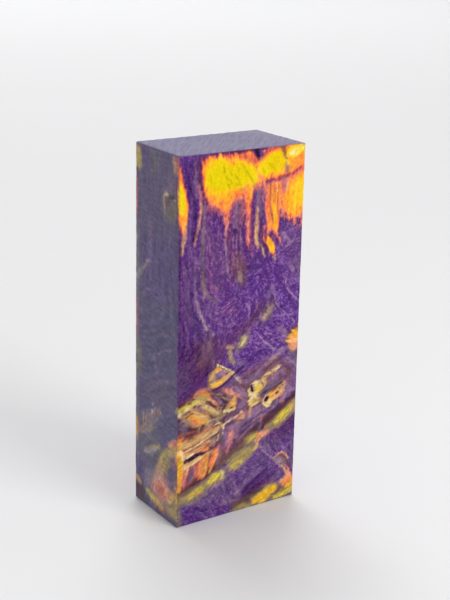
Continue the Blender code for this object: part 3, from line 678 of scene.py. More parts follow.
    ("cream", 0.5, 0.9, [(2.6, 28, 0.3), (7, 29.2, 0.45), (12.4, 31.3, 0.45), (16, 32.9, 0.3)]),
    ("peach", 0.5, 0.8, [(2.4, 29.6, 0.25), (8, 30.8, 0.35), (13, 32.4, 0.3)]),
    ("peach", 1.4, 0.65, [(4, 27.6, 0.8), (8, 28.4, 1.2), (12, 30, 0.8)]),
    ("peach", 0.5, 0.9, [(2.4, 27.2, 0.35), (5.6, 27.8, 0.45), (9.4, 28.9, 0.45), (13, 30.2, 0.35)]),
    ("bark", 0.3, 0.9, [(2.6, 27.6, 0.1), (6, 28.4, 0.15), (11.6, 30.3, 0.15)]),
    ("bark", 0.3, 0.8, [(4.4, 27.2, 0.1), (8, 28.4, 0.15), (12, 29.6, 0.12)]),
    ("tan", 0.6, 0.9, [(2.2, 26.6, 0.4), (5.4, 27.1, 0.4), (9, 28.4, 0.3)]),
    ("cream", 0.5, 0.9, [(2.4, 25.8, 0.3), (4.4, 26.2, 0.4), (7, 27.2, 0.25)]),
    ("bark", 0.4, 0.3, [(2.6, 29.2, 0.1), (8, 30.6, 0.2), (14, 32.6, 0.2)]),
    ("flame", 0.8, 0.95, [(9.8, 27.4, 0.5), (11, 27.4, 0.85), (12.4, 27.6, 0.6)]),
    ("rose", 0.5, 0.6, [(9.8, 27, 0.2), (12.2, 26.8, 0.3)]),
    ("sand", 1.4, 0.7, [(13, 28.8, 0.5), (14.6, 29.6, 1.0), (15.4, 30.8, 0.5)]),
    ("slate", 1.0, 0.85, [(17.6, 33.2, 0.6), (17.8, 31, 0.7), (18.4, 29, 0.5)]),
    ("cream", 0.6, 0.6, [(16.4, 29.6, 0.3), (16.8, 31.4, 0.3)]),
    ("cream", 0.4, 0.6, [(18, 30.6, 0.15), (18.6, 31.8, 0.25)]),
    ("bark", 0.8, 0.8, [(10, 30, 0.15), (13, 31.2, 0.3), (16.4, 32.4, 0.35)]),
    # dark line in the slot: partly dark bark, partly painted shade
    ("ink", 0.7, 1.0, [(2.6, 24.1, 0.4), (5.4, 24.8, 0.7), (9, 25.7, 0.7), (12.4, 26.2, 0.3),
        (16, 27.6, 0.2)]),
    ("amber", 1.0, 1.0, [(-0.6, 29, 0.8), (1.2, 28.6, 1.1), (1.1, 26, 1.1), (1.1, 22.6, 1.0)]),
    ("corn", 1.0, 0.9, [(-0.6, 24, 1.2), (1.6, 24, 0.9)]),
    ("cream", 1.0, 0.6, [(-0.6, 28.6, 0.7), (1.6, 28, 0.7), (2.4, 25.4, 0.6)]),
    ("tan", 1.0, 0.95, [(2.2, 22.6, 0.9), (6, 23.3, 0.9), (10, 24.7, 0.8), (14, 25.9, 0.5)]),
    ("cream", 0.8, 0.6, [(3, 22.4, 0.4), (8, 24, 0.5), (12, 25.4, 0.4)]),
    ("olive", 1.0, 0.6, [(11.6, 25.4, 0.5), (14.8, 26.4, 0.4)]),
    # tongues under the slot
    ("amber", 1.0, 1.0, [(1.2, 22, 1.1), (1.4, 19.4, 1.1), (1, 16.4, 0.9), (0.6, 14, 0.6)]),
    ("flame", 1.0, 0.7, [(2, 20, 0.5), (1.6, 17, 0.6), (1, 14.4, 0.4)]),
    ("corn", 1.0, 0.7, [(0, 21.6, 0.8), (0.2, 18.4, 0.5), (-0.2, 15, 0.4)]),
    ("peach", 0.9, 0.9, [(4.4, 21.2, 0.5), (3.6, 19.6, 0.7), (2.8, 17.6, 0.4)]),
    ("rose", 0.9, 0.9, [(3.4, 19, 0.6), (2.8, 16.4, 0.6), (3, 14.4, 0.4)]),
    ("wine", 1.0, 0.8, [(5.2, 21, 0.4), (4.6, 18.4, 0.6), (4.2, 15.8, 0.4)]),
    ("slate", 1.4, 0.8, [(6.2, 20.6, 0.5), (5.7, 18.6, 1.0), (5.6, 16.6, 0.6)]),
    ("rose", 1.0, 0.8, [(7, 22, 0.6), (7.4, 20, 0.5), (7.6, 18, 0.3)]),
    ("coral", 1.2, 0.95, [(9, 22.6, 0.8), (9, 19.6, 1.3), (9, 17.4, 1.0)]),
    ("flame", 1.0, 1.0, [(11.6, 24.4, 1.1), (11, 22, 1.8), (10.6, 19.6, 1.8), (10.4, 17.6, 1.1)]),
    ("amber", 1.2, 0.8, [(12, 23.8, 0.6), (11.8, 20.6, 0.6), (11.4, 18, 0.4)]),
    ("peach", 1.4, 0.5, [(10.8, 23, 0.7), (10.2, 18.6, 0.9)]),
    ("umber", 0.8, 0.6, [(13, 23.6, 0.2), (12.6, 20.4, 0.3), (12.2, 17.4, 0.3)]),
    ("coral", 1.0, 1.0, [(15.6, 25.6, 1.0), (14.4, 22.6, 1.1), (13.6, 20, 0.7)]),
    ("flame", 1.0, 0.9, [(15.8, 25.6, 0.9), (15, 22.6, 0.9), (13.8, 19.4, 0.6)]),
    ("amber", 0.9, 0.9, [(14, 19.4, 0.4), (13.2, 18.4, 0.5)]),
    ("peach", 0.9, 0.8, [(16.6, 25.6, 0.6), (15.8, 22.8, 0.4)]),
    ("slate", 1.0, 0.85, [(16.9, 23.2, 0.5), (16.6, 21.2, 0.7)]),
    ("rose", 1.0, 0.8, [(17.2, 27.4, 0.5), (17, 25.4, 0.6)]),
    ("brown", 1.0, 0.7, [(18.8, 27, 0.3), (18.6, 24.6, 0.6), (18.4, 21.6, 0.7)]),
    ("rose", 1.8, 0.95, [(22.4, 31.2, 1.1), (22.2, 29.6, 1.1), (21.2, 27, 0.7), (20.4, 24.4, 0.4)]),
    ("peach", 1.4, 0.5, [(22.2, 31, 0.7), (22, 29.4, 0.6)]),
    ("cream", 0.6, 0.85, [(19.2, 35.2, 0.2), (22.4, 36.4, 0.3), (26.4, 38.1, 0.3)]),
    ("rose", 1.4, 0.8, [(23.4, 36, 0.6), (26, 37, 0.9), (28.4, 37.8, 0.5)]),
    ("tan", 1.4, 0.8, [(24.4, 35, 0.5), (26.4, 36, 0.8), (27, 37, 0.5)]),
    ("umber", 0.9, 0.8, [(19.8, 34.4, 0.3), (23.4, 35.2, 0.35), (26.4, 35, 0.4)]),
    # bright parts of the yellow bands
    ("lemon", 1.8, 0.8, [(4.6, 10.4, 0.4), (6.4, 11.6, 0.8), (10, 13, 0.9)]),
    ("amber", 1.4, 0.5, [(7, 11, 0.5), (9.4, 11.6, 0.6)]),
    ("lemon", 1.8, 0.9, [(12.6, 14, 0.6), (15.4, 15.6, 1.2), (17.4, 16.6, 0.8)]),
    ("cream", 1.6, 0.6, [(18, 17, 0.6), (19, 15, 0.8)]),
    ("slate", 1.6, 0.5, [(11.4, 11.6, 0.5), (12.6, 13.4, 0.6)]),
    ("umber", 1.6, 0.5, [(2.4, 12, 0.4), (5, 12.6, 0.6)]),
    ("mauve", 1.6, 0.6, [(16, 12, 0.6), (17.4, 13, 0.7)]),
    ("slate", 2.0, 0.7, [(20.2, 17.4, 0.5), (20.6, 14.6, 0.8)]),
    ("sage", 2.4, 0.6, [(3, 8.4, 0.8), (7, 8.2, 1.0), (12, 10.4, 0.7)]),
    ("lemon", 2.4, 0.4, [(23.6, 18.4, 1.0), (26, 19.4, 0.8)]),
    ("lemon", 1.6, 0.5, [(29.4, 26.6, 0.7), (32, 27.4, 0.8)]),
    ("umber", 1.2, 0.6, [(24.6, 23.8, 0.5), (27, 24.6, 0.5)]),
    ("peach", 1.8, 0.95, [(33.6, 26.4, 1.0), (35, 27.4, 1.4), (37.4, 28.2, 0.9)]),
    ("flame", 1.6, 0.7, [(33.4, 28, 0.6), (34, 27, 0.7)]),
    ("coral", 1.2, 0.6, [(36.6, 29.8, 0.5), (37.4, 30.6, 0.5)]),
    ("tan", 1.2, 0.8, [(33.2, 25.4, 0.6), (33.2, 23.6, 0.7), (32.4, 22.6, 0.4)]),
    ("sage", 1.4, 0.8, [(38, 29.2, 0.7), (40.2, 30.2, 0.8)]),
    ("lemon", 2.2, 0.8, [(41.4, 31.2, 0.8), (43.8, 33, 1.5), (46.4, 34.8, 1.1)]),
    ("tan", 2.0, 0.7, [(47.4, 36, 0.9), (51, 37.4, 1.4)]),
    # the violet wedge and its diagonals
    ("sage", 2.0, 0.85, [(0.6, 8, 0.9), (0.8, 4, 1.1), (0.8, -1, 1.1)]),
    ("slate", 1.6, 0.5, [(1.8, 7.6, 0.5), (2, 0, 0.5)]),
    ("mauve", 2.2, 0.3, [(20, 6.6, 0.8), (25.4, 8, 1.2), (30, 11, 1.0), (35.6, 14, 0.9)]),
    ("lilac", 1.6, 0.6, [(34, 13.6, 0.7), (42, 18.4, 0.6), (46, 20.6, 0.7), (50.6, 22.8, 0.5)]),
    ("slate", 2.2, 0.4, [(14, 9, 0.8), (18, 10.6, 1.2), (24, 12.6, 0.9)]),
    ("mauve", 1.8, 0.6, [(24.6, 7.4, 0.5), (26, 6.4, 0.8)]),
    ("mauve", 2.0, 0.5, [(19, 4.6, 0.6), (22, 5, 0.8), (24.6, 4.4, 0.5)]),
    ("brown", 2.2, 0.7, [(23.4, 3.8, 0.8), (25.6, 2.4, 1.0)]),
    ("deep", 1.8, 0.8, [(27.6, 7.4, 0.7), (31, 9.6, 1.0), (37.6, 13, 0.8)]),
    ("deep", 2.4, 0.6, [(28, 5.8, 0.9), (34, 8, 1.3), (41, 11, 1.0)]),
    ("maroon", 2.0, 0.4, [(31, 7, 0.6), (36, 8.4, 0.9), (40, 8.6, 0.6)]),
    ("slate", 2.2, 0.5, [(41, 9, 0.9), (45, 10, 1.0)]),
    ("slate", 1.8, 0.8, [(48.8, 21, 0.6), (49.8, 16.6, 1.0), (50.4, 10, 0.7)]),
    ("slate", 2.0, 0.7, [(36.4, 25.6, 0.9), (37.4, 22.6, 1.1)]),
    ("mauve", 0.9, 0.85, [(34.2, 23.8, 0.3), (36.4, 20.8, 0.3), (40, 17.2, 0.4), (42.4, 15.2, 0.3),
        (44.2, 13.4, 0.2)]),
    ("sand", 2.0, 0.5, [(41, 16.8, 0.4), (43.4, 16, 1.2), (45.2, 14.6, 1.5), (46.4, 12, 1.1)]),
    ("peach", 0.7, 0.75, [(41, 16.9, 0.2), (42.4, 17.8, 0.4), (44.2, 18.5, 0.4), (46, 17.2, 0.4),
        (47.2, 15.4, 0.3)]),
    ("brown", 0.9, 0.85, [(43, 17.4, 0.3), (44.4, 17.6, 0.4), (45.8, 16.4, 0.35), (47, 14.6, 0.3)]),
    ("salmon", 0.8, 0.8, [(44.6, 15.6, 0.2), (46.6, 12.8, 0.5), (48, 10.6, 0.4)]),
    ("peach", 1.0, 0.9, [(44.4, 13.4, 0.2), (46.2, 11, 0.5), (48, 8.6, 0.8)]),
    ("brown", 0.8, 0.7, [(47.6, 14.4, 0.2), (48.4, 11.6, 0.3)]),
    # gold at the foot
    ("peach", 2.0, 0.9, [(44.6, 6.6, 0.8), (46.6, 7.4, 1.2), (48.6, 8, 0.9)]),
    ("flame", 1.8, 0.95, [(45.6, 5.8, 0.8), (47.4, 6.4, 1.4), (49, 6.6, 1.0)]),
    ("amber", 1.6, 0.95, [(46.6, 3.8, 0.7), (48.6, 4.6, 1.0), (50.8, 5.6, 1.6)]),
    ("olive", 2.2, 0.9, [(32.6, 2.4, 1.4), (36.4, 3, 2.2), (39.6, 4.8, 2.0), (42, 5, 1.2)]),
    ("corn", 2.0, 1.0, [(33.2, 2, 1.2), (36.4, 2.6, 2.0), (38.6, 4, 1.5), (41, 5, 1.6)]),
    ("lemon", 2.0, 0.9, [(41.4, 1, 0.8), (44.6, 1.8, 1.1), (48.6, 3, 1.0)]),
    ("brown", 1.6, 0.8, [(42.6, 3, 0.5), (43.4, 4.4, 0.7), (44.2, 5.8, 0.4)]),
    ("bark", 1.8, 0.6, [(30.6, 5.6, 0.5), (33, 5.6, 0.7), (36, 6.4, 0.4)]),
    ("olive", 1.8, 0.8, [(24, 0.6, 0.8), (28, 1.2, 1.0), (31.6, 0.4, 0.7)]),
    ("slate", 0.9, 0.6, [(33, -0.4, 0.5), (46, 0, 0.5), (50.6, 1.4, 0.5)]),
]
# Fine lines over the rest, along one or the other half of the fibres
FRONT_LINES = [
    ("bark", 3.0, 0.4, COMB, 1),
    ("cream", 3.0, 0.25, COMB, -1),
    ("bark", 2.0, 0.28, [(2, 32), (12, 35), (19, 36), (18, 28), (9, 24.6), (2, 22)], 1),
    ("umber", 2.0, 0.12, [(0, 22), (10, 25), (17, 26), (13, 17), (2, 13)], 1),
    ("bark", 4.0, 0.28, ROUND_EYES, 1),
    ("peach", 4.0, 0.12, ROUND_EYES, -1),
    ("umber", 3.0, 0.35, [(-1, 14), (16, 21), (34, 32), (51, 42), (51, 33), (34, 23), (16, 13),
        (-1, 7)], 1),
    ("ink", 4.0, 0.22, [(19, 117), (41, 119), (41, 98), (20, 92)], 1),
    ("brown", 3.0, 0.15, [(24, 4), (34, 8), (50, 10), (50, -1), (24, -1)], 1),
]
# The dark pits of the eyes, laid last over the hollows cut for them: partly dark wood, partly painted
# shade
FRONT_PITS = [
    ("bark", 0.7, 0.8, [(29.8, 47.2, 0.4), (30.3, 45, 0.5)]),
    ("ink", 0.4, 1.0, [(30.3, 47.1, 0.55), (30.7, 45.1, 0.6)]),
    ("bark", 0.7, 0.7, [(36.2, 40.2, 0.6), (37.4, 41.6, 0.5)]),
    ("ink", 0.4, 1.0, [(36.5, 40.7, 0.75), (37.1, 41.2, 0.7)]),
    ("ink", 0.4, 0.9, [(21.6, 40.4, 0.4), (22.4, 40.7, 0.45)]),
    ("ink", 0.4, 0.9, [(41.2, 42.2, 0.4), (41.7, 42.5, 0.35)]),
    ("ink", 0.4, 0.9, [(43.4, 44.6, 0.25), (43.9, 44.9, 0.2)]),
]

# The left side, from the back's edge at -29 to the front's edge at 0
LEFT_AREAS = [
    ("dusk", 1.0, 0.75, [(-30, -1), (-30, 132), (1, 132), (1, -1)]),
    ("slate", 6.0, 0.4, [(-30, 132), (0, 132), (0, 105.9), (-13.7, 102.1), (-30, 102.1)]),
    ("lichen", 5.0, 0.3, [(-30, 92.5), (-25.7, 90.6), (-24.7, 82.8), (-30, 78.8)]),
    ("lichen", 5.0, 0.35, [(-28, 34), (-18, 36), (-9, 26), (-12, 18), (-24, 17), (-28, 24)]),
    ("lilac", 6.0, 0.25, [(-21.7, 102.1), (-3.7, 100.2), (-2, 82.8), (-13.7, 76.9), (-25.7, 80.8)]),
    ("lilac", 4.0, 0.3, [(-23.7, 130.1), (-19.7, 130.1), (-18.7, 123.7), (-22.7, 122.7)]),
    ("chalk", 3.0, 0.25, [(-30, 104), (-26.6, 104), (-26.6, 18), (-30, 18)]),
    ("olive", 2.6, 0.85, [(-30, 129.2), (-26.1, 129.2), (-24.7, 126.4), (-25.7, 122.7), (-30, 121.3)]),
    ("tan", 2.4, 0.6, [(-30, 130.6), (-26.3, 130.5), (-25.3, 128.3), (-30, 127.3)]),
    ("lemon", 2.4, 0.45, [(-30, 129), (-26, 129), (-25, 124), (-30, 122)]),
    ("coral", 1.6, 0.85, [(-30, 120.5), (-28, 120), (-27.2, 113.4), (-27.8, 104.9), (-30, 104.6)]),
    ("cream", 1.6, 0.7, [(-30, 101.1), (-28.6, 100.6), (-28, 97.9), (-28.8, 95.4), (-30, 95)]),
    ("coral", 1.8, 0.5, [(-30, 78.8), (-28, 77.8), (-27, 70.9), (-27.4, 62.9), (-30, 62.5)]),
    ("lichen", 4.0, 0.75, [(-30, 62.9), (-25.7, 61.9), (-23.7, 56.8), (-24.7, 49.7), (-30, 46.6)]),
    ("lichen", 3.0, 0.5, [(-18, 131), (-15, 131), (-14.3, 125.5), (-15.7, 120.9), (-18.3, 122.7)]),
    ("heather", 4.0, 0.5, [(-7.7, 122.7), (-1, 124.6), (-1, 115.3), (-7.7, 115.3)]),
    ("lichen", 3.0, 0.7, [(-9.7, 117.2), (-1, 118.1), (-0.6, 109.7), (-7.7, 107.8), (-10.3, 110.6)]),
    ("brown", 3.0, 0.3, [(-9.4, 117), (-1, 118), (-1, 110), (-8.6, 109)]),
    ("slate", 4.0, 0.6, [(-19.7, 50.7), (-2, 54.8), (-1, 42.5), (-9.7, 40.4), (-23.7, 42.5)]),
    ("orange", 1.2, 0.9, [(-1, 126.4), (0.6, 127.3), (0.6, 107.8), (-0.8, 108.7), (-1.4, 117.2)]),
    ("yellow", 1.0, 0.9, [(-0.8, 120), (0.6, 120.9), (0.6, 113.4), (-0.8, 114)]),
    # the warm pocket at the foot
    ("rust", 3.0, 0.5, [(-19, 9.7), (-15.1, 16.2), (-11.3, 22.6), (-5.4, 28.9), (0.5, 33.1),
        (0.5, 3.3), (-10.9, 3.3), (-16.9, 5.4)]),
    ("olive", 3.0, 0.8, [(-13.4, 18.3), (-11.4, 24.6), (-5.4, 27.8), (-2, 31), (0.5, 31),
        (0.5, 26.8), (-3, 25.7), (-4.3, 22.6), (-7.2, 18.3)]),
    ("heather", 2.0, 0.8, [(-5.3, 25.7), (-1, 25.7), (-1, 21.5), (-4.2, 21.5)]),
    ("rose", 3.0, 0.9, [(-17.6, 7.6), (-15.1, 13), (-11.1, 15.5), (-7.1, 15.1), (-5.4, 10.8),
        (-7.9, 6.5), (-12.9, 5.4)]),
    ("coral", 2.6, 0.95, [(-13.5, 7.2), (-12.1, 13), (-8.1, 14.5), (-6, 10.8), (-7.9, 6.9),
        (-10.9, 5.9)]),
    ("amber", 2.4, 0.75, [(-8.4, 11.9), (-5.1, 13), (-2, 13.4), (-1.6, 9.7), (-3.9, 7.2), (-8, 7.6)]),
    ("tan", 2.4, 0.7, [(-15.7, 14), (-13.2, 19.4), (-10.7, 21.5), (-8.2, 17.2), (-10.1, 14.7)]),
    ("dusk", 2.2, 0.95, [(-6.2, 19.4), (-3.3, 21.9), (-1.8, 20.4), (-1.8, 14.5), (-3.1, 12.5),
        (-5.5, 13.6)]),
    ("lemon", 3.0, 0.5, [(-6.9, 7), (-3, 10.4), (-0.6, 13), (0.5, 13), (0.5, 3.3), (-6.9, 3.3)]),
    ("olive", 2.4, 0.6, [(-6.9, 6.5), (-3, 9.7), (-0.6, 13), (0.5, 13), (0.5, 3.3), (-2.9, 2.6),
        (-6.9, 3.3)]),
    ("chalk", 2.6, 0.25, [(-24.5, 28), (-19, 30), (-13, 35), (-10, 39), (-12, 41), (-18, 38),
        (-24, 35.5)]),
    ("chalk", 4.0, 0.3, [(-23, 14), (-15, 17), (-6, 15), (-3, 6), (-12, 3), (-21, 4)]),
    ("umber", 3.4, 0.9, [(-30, 7.6), (-25, 8.2), (-21.9, 5.4), (-22, -1), (-30, -1)]),
    ("tan", 1.8, 0.85, [(-30, 10.2), (-27.6, 9.5), (-24.4, 8), (-25.5, 6.5), (-30, 7.2)]),
    ("amber", 1.8, 0.8, [(-30, 33.7), (-28, 32.7), (-26.8, 28.9), (-27.2, 24.2), (-30, 23.6)]),
    ("lichen", 2.0, 0.7, [(-30, 45.6), (-28.4, 44.5), (-28, 38.3), (-28.4, 33.1), (-30, 33.1)]),
    ("slate", 2.0, 0.6, [(-30, 1.5), (0, 1.5), (0, -1), (-30, -1)]),
]
LEFT_STREAKS = [
    ("tan", 1.6, 0.7, [(-3.7, 129.8, 0.7), (-2.8, 128, 1.2), (-2.6, 125.5, 0.8)]),
    ("coral", 1.2, 0.85, [(-1.4, 129.9, 0.8), (-1, 127.6, 1.0), (-0.6, 124.6, 0.7)]),
    # the pale hook and its shade
    ("brown", 1.6, 0.7, [(-11.1, 114.9, 0.4), (-9.3, 113.8, 0.8), (-7.3, 114, 0.8),
        (-6.7, 116.2, 0.5)]),
    ("sand", 0.9, 0.9, [(-10.1, 115.9, 0.5), (-8.7, 117.2, 0.6), (-6.5, 117, 0.5),
        (-4.7, 115.9, 0.4), (-2, 116.2, 0.3)]),
    ("cream", 0.7, 0.6, [(-10.1, 116.2, 0.35), (-9.1, 116.8, 0.55), (-7.3, 117.4, 0.35)]),
    ("sand", 0.9, 0.9, [(-9.7, 115.7, 0.6), (-9.5, 113.4, 0.7), (-9.3, 111.4, 0.5)]),
    ("chalk", 0.7, 0.6, [(-9.9, 114.9, 0.3), (-9.7, 111.9, 0.35)]),
    ("bark", 0.8, 1.0, [(-6, 116.7, 0.5), (-4.6, 116.6, 0.9), (-3.2, 116.9, 0.6)]),
    ("brown", 0.8, 0.7, [(-7.7, 115.1, 0.4), (-7.7, 113.4, 0.4)]),
    ("wine", 1.4, 0.4, [(-11.3, 108.7, 0.5), (-10.3, 108.4, 0.5)]),
    # pale streaks of the middle
    ("mauve", 3.0, 0.35, [(-19.3, 105.9, 1.0), (-18.5, 99.2, 1.2), (-19.7, 92.5, 1.0)]),
    ("chalk", 0.9, 0.4, [(-21.7, 91.3, 0.3), (-20.1, 91.7, 0.4)]),
    ("chalk", 1.4, 0.35, [(-27.7, 84.7, 0.9), (-23.7, 88.6, 0.8), (-19.7, 91.6, 0.5)]),
    ("lichen", 1.0, 0.6, [(-24.1, 86.1, 0.4), (-23.5, 89, 0.5)]),
    ("mauve", 1.0, 0.5, [(-24.3, 75.9, 0.3), (-23.7, 78.4, 0.4), (-21.5, 81.4, 0.4),
        (-17.7, 82.4, 0.2)]),
    ("lichen", 1.0, 0.6, [(-24.5, 74.9, 0.4), (-24.3, 70.9, 0.5)]),
    ("lilac", 2.0, 0.4, [(-25.7, 70.9, 0.8), (-24.7, 66.5, 1.0)]),
    ("slate", 1.6, 0.6, [(-17.7, 76.9, 0.5), (-9.7, 78.4, 0.6), (-1, 80.4, 0.5)]),
    ("slate", 1.6, 0.5, [(-18.7, 67.9, 0.5), (-7.7, 68.9, 0.7), (-1, 70.9, 0.5)]),
    ("mauve", 0.8, 0.6, [(-12.7, 60.7, 0.2), (-10.7, 61.9, 0.3), (-7.7, 63.3, 0.3), (-3.7, 64.3, 0.2)]),
    ("mauve", 0.7, 0.5, [(-11.7, 51.1, 0.2), (-9.3, 51.9, 0.3), (-5.7, 52.5, 0.2)]),
    ("mauve", 2.0, 0.4, [(-15.7, 58.8, 0.8), (-14.7, 55.8, 1.0), (-13.3, 53.8, 0.8)]),
    ("ink", 1.6, 0.4, [(-6.7, 49.7, 0.6), (-1, 51.7, 0.8)]),
    ("plum", 1.0, 0.8, [(0, 105.9, 0.7), (0.1, 82.8, 0.7), (0, 62.9, 0.8), (0, 44.5, 0.7)]),
    # pale flecks that climb across the lower part
    ("rust", 3.0, 0.3, [(-24.4, 28.9, 1.4), (-21.1, 33.1, 1.4), (-16.6, 36.9, 1.2),
        (-11.2, 39.4, 0.9)]),
    ("chalk", 0.7, 0.95, [(-17.2, 37.1, 0.5), (-16.7, 38.3, 0.6)]),
    ("sand", 0.6, 0.9, [(-15.2, 37.1, 0.25), (-14.8, 39.8, 0.3)]),
    ("sand", 0.6, 0.9, [(-13.4, 37.7, 0.25), (-13, 39.8, 0.3)]),
    ("chalk", 0.7, 0.8, [(-11.6, 38.5, 0.25), (-11.3, 40.2, 0.35)]),
    ("chalk", 0.6, 0.5, [(-16.7, 40.4, 0.2), (-15.9, 41.6, 0.25)]),
    ("bark", 0.5, 0.6, [(-14.4, 36.9, 0.2), (-14, 39.4, 0.25)]),
    ("bark", 0.5, 0.6, [(-12.6, 37.3, 0.2), (-12.2, 39.4, 0.25)]),
    ("chalk", 0.7, 0.8, [(-21.5, 32, 0.25), (-21.2, 35.6, 0.4)]),
    ("sand", 0.6, 0.9, [(-23.1, 31, 0.25), (-22.7, 35.2, 0.3)]),
    ("sand", 0.6, 0.85, [(-19.7, 33.1, 0.25), (-19.4, 35.6, 0.3)]),
    ("bark", 0.5, 0.6, [(-22.3, 31.6, 0.2), (-21.9, 35.2, 0.25)]),
    ("bark", 0.5, 0.6, [(-20.5, 32.3, 0.2), (-20.2, 35.2, 0.25)]),
    ("olive", 1.6, 0.5, [(-19, 30.4, 0.8), (-17.5, 32, 1.0)]),
    ("sand", 1.8, 0.7, [(-26, 27.4, 0.7), (-23, 28.9, 1.0), (-19.6, 30.6, 0.7)]),
    ("chalk", 1.6, 0.5, [(-21.6, 21.5, 0.9), (-17.9, 22.8, 1.2), (-13.9, 25, 0.8)]),
    ("olive", 1.4, 0.6, [(-18.3, 24, 0.6), (-15.3, 25, 0.8), (-11.9, 26.2, 0.7)]),
    ("slate", 1.2, 0.6, [(-17.9, 23.2, 0.3), (-14.3, 22.8, 0.4), (-11.3, 24.3, 0.3)]),
    ("slate", 1.6, 0.5, [(-29, 22.6, 0.8), (-25.2, 18.9, 0.9), (-19.2, 17.9, 0.8)]),
    ("lilac", 3.0, 0.3, [(-24.4, 15.6, 1.4), (-22.6, 10.8, 1.8)]),
    ("lemon", 2.4, 0.35, [(-10.4, 22.1, 0.7), (-8, 25.6, 0.9), (-3.8, 28.3, 0.6)]),
    ("peach", 1.8, 0.7, [(-5.6, 29.4, 0.6), (-3.2, 30.6, 1.1), (-0.6, 32, 1.0)]),
    ("coral", 1.4, 0.9, [(-2.6, 31, 0.6), (-1, 31.4, 0.9), (0, 31.8, 0.9)]),
    ("lemon", 1.8, 0.9, [(-20.4, 6.1, 0.7), (-16.9, 5.4, 1.2), (-13.3, 4.7, 1.0), (-9.6, 3.6, 0.6)]),
    ("flame", 1.4, 0.6, [(-15, 3.6, 0.4), (-11.9, 3, 0.8), (-9, 2.6, 0.5)]),
    ("peach", 3.0, 0.6, [(-15, 11, 1.6), (-10.6, 11.6, 2.6), (-6.6, 11, 1.2)]),
    ("coral", 2.2, 0.9, [(-13.4, 10.2, 1.2), (-9.8, 10.6, 1.6), (-8.2, 8.6, 1.0)]),
    ("rose", 1.0, 0.6, [(-5.1, 15.5, 0.4), (-3.5, 15.7, 0.5)]),
    ("brown", 1.6, 0.6, [(-5.9, 6.1, 0.6), (-2.9, 7.2, 0.7), (-1.6, 9.7, 0.5)]),
    ("brown", 1.4, 0.5, [(-20, 8, 0.5), (-16.9, 7.2, 0.6), (-14.5, 6.9, 0.4)]),
    ("amber", 1.0, 0.9, [(-1, 30.6, 0.4), (-0.4, 27.8, 0.8), (0.2, 23.6, 0.8)]),
    ("amber", 1.0, 0.9, [(-1, 15.1, 0.5), (0.2, 13, 0.8), (0.4, 9.7, 0.6)]),
    ("ink", 1.0, 0.6, [(0.2, 21.5, 0.5), (0.2, 17.2, 0.5)]),
    ("olive", 1.0, 0.8, [(-1, 43.5, 0.4), (0.2, 44.5, 1.0)]),
    ("slate", 1.4, 0.6, [(-28, 130.8, 0.7), (-15, 131, 0.8), (-2, 130.8, 0.6)]),
]

# The right side, from the front's edge at 50 to the back's edge at 79: the front's bands go on
RIGHT_AREAS = [
    ("deep", 6.0, 0.4, RIGHT_SIDE, 1),
    ("heather", 6.0, 0.3, RIGHT_SIDE, -1),
    ("red", 1.6, 0.8, [(49.4, 131.6), (62, 131.6), (66, 127), (61, 124.6), (54, 125), (49.4, 123.6)]),
    ("gold", 2.0, 1.0, [(49.4, 131.6), (60, 131.6), (63, 128), (58, 126.4), (49.4, 126.6)]),
    ("wine", 3.0, 0.7, [(49.4, 123), (58, 122), (66, 120), (69, 112), (64, 106), (63, 99), (58, 101),
        (54, 95), (49.4, 100)]),
    ("orange", 2.4, 1.0, [(49.4, 121.6), (56, 119.6), (62, 119), (65, 113), (60, 109), (59, 103),
        (55, 106), (49.4, 103.6)]),
    ("gold", 2.6, 1.0, [(49.4, 120.6), (53, 118), (59, 117), (60.6, 113), (56.4, 110.6), (54, 108),
        (49.4, 107.4)]),
    ("red", 1.4, 0.8, [(49.4, 65.8), (53, 66.6), (57.4, 67), (58, 63), (54, 59.6), (49.4, 58.4)]),
    ("orange", 1.4, 1.0, [(49.4, 65), (53, 65.8), (56, 66), (56, 63), (53, 60.6), (49.4, 59.6)]),
    ("bark", 2.2, 0.7, [(49.4, 43.6), (64, 51), (79.8, 60.6), (79.8, 57.6), (60, 45.6), (49.4, 40.6)]),
    ("olive", 2.0, 0.9, [(49.4, 39.6), (64, 47.4), (79.8, 57), (79.8, 53), (60, 42), (49.4, 35)]),
    ("lilac", 6.0, 0.3, [(52, 98), (66, 96), (72, 84), (66, 72), (54, 72)]),
    ("deep", 5.0, 0.4, [(56, 34), (70, 38), (78, 34), (76, 18), (62, 12), (54, 20)]),
    ("brown", 3.0, 0.5, [(68, 108), (72, 110), (74, 96), (73, 80), (69, 82), (67.6, 96)]),
]
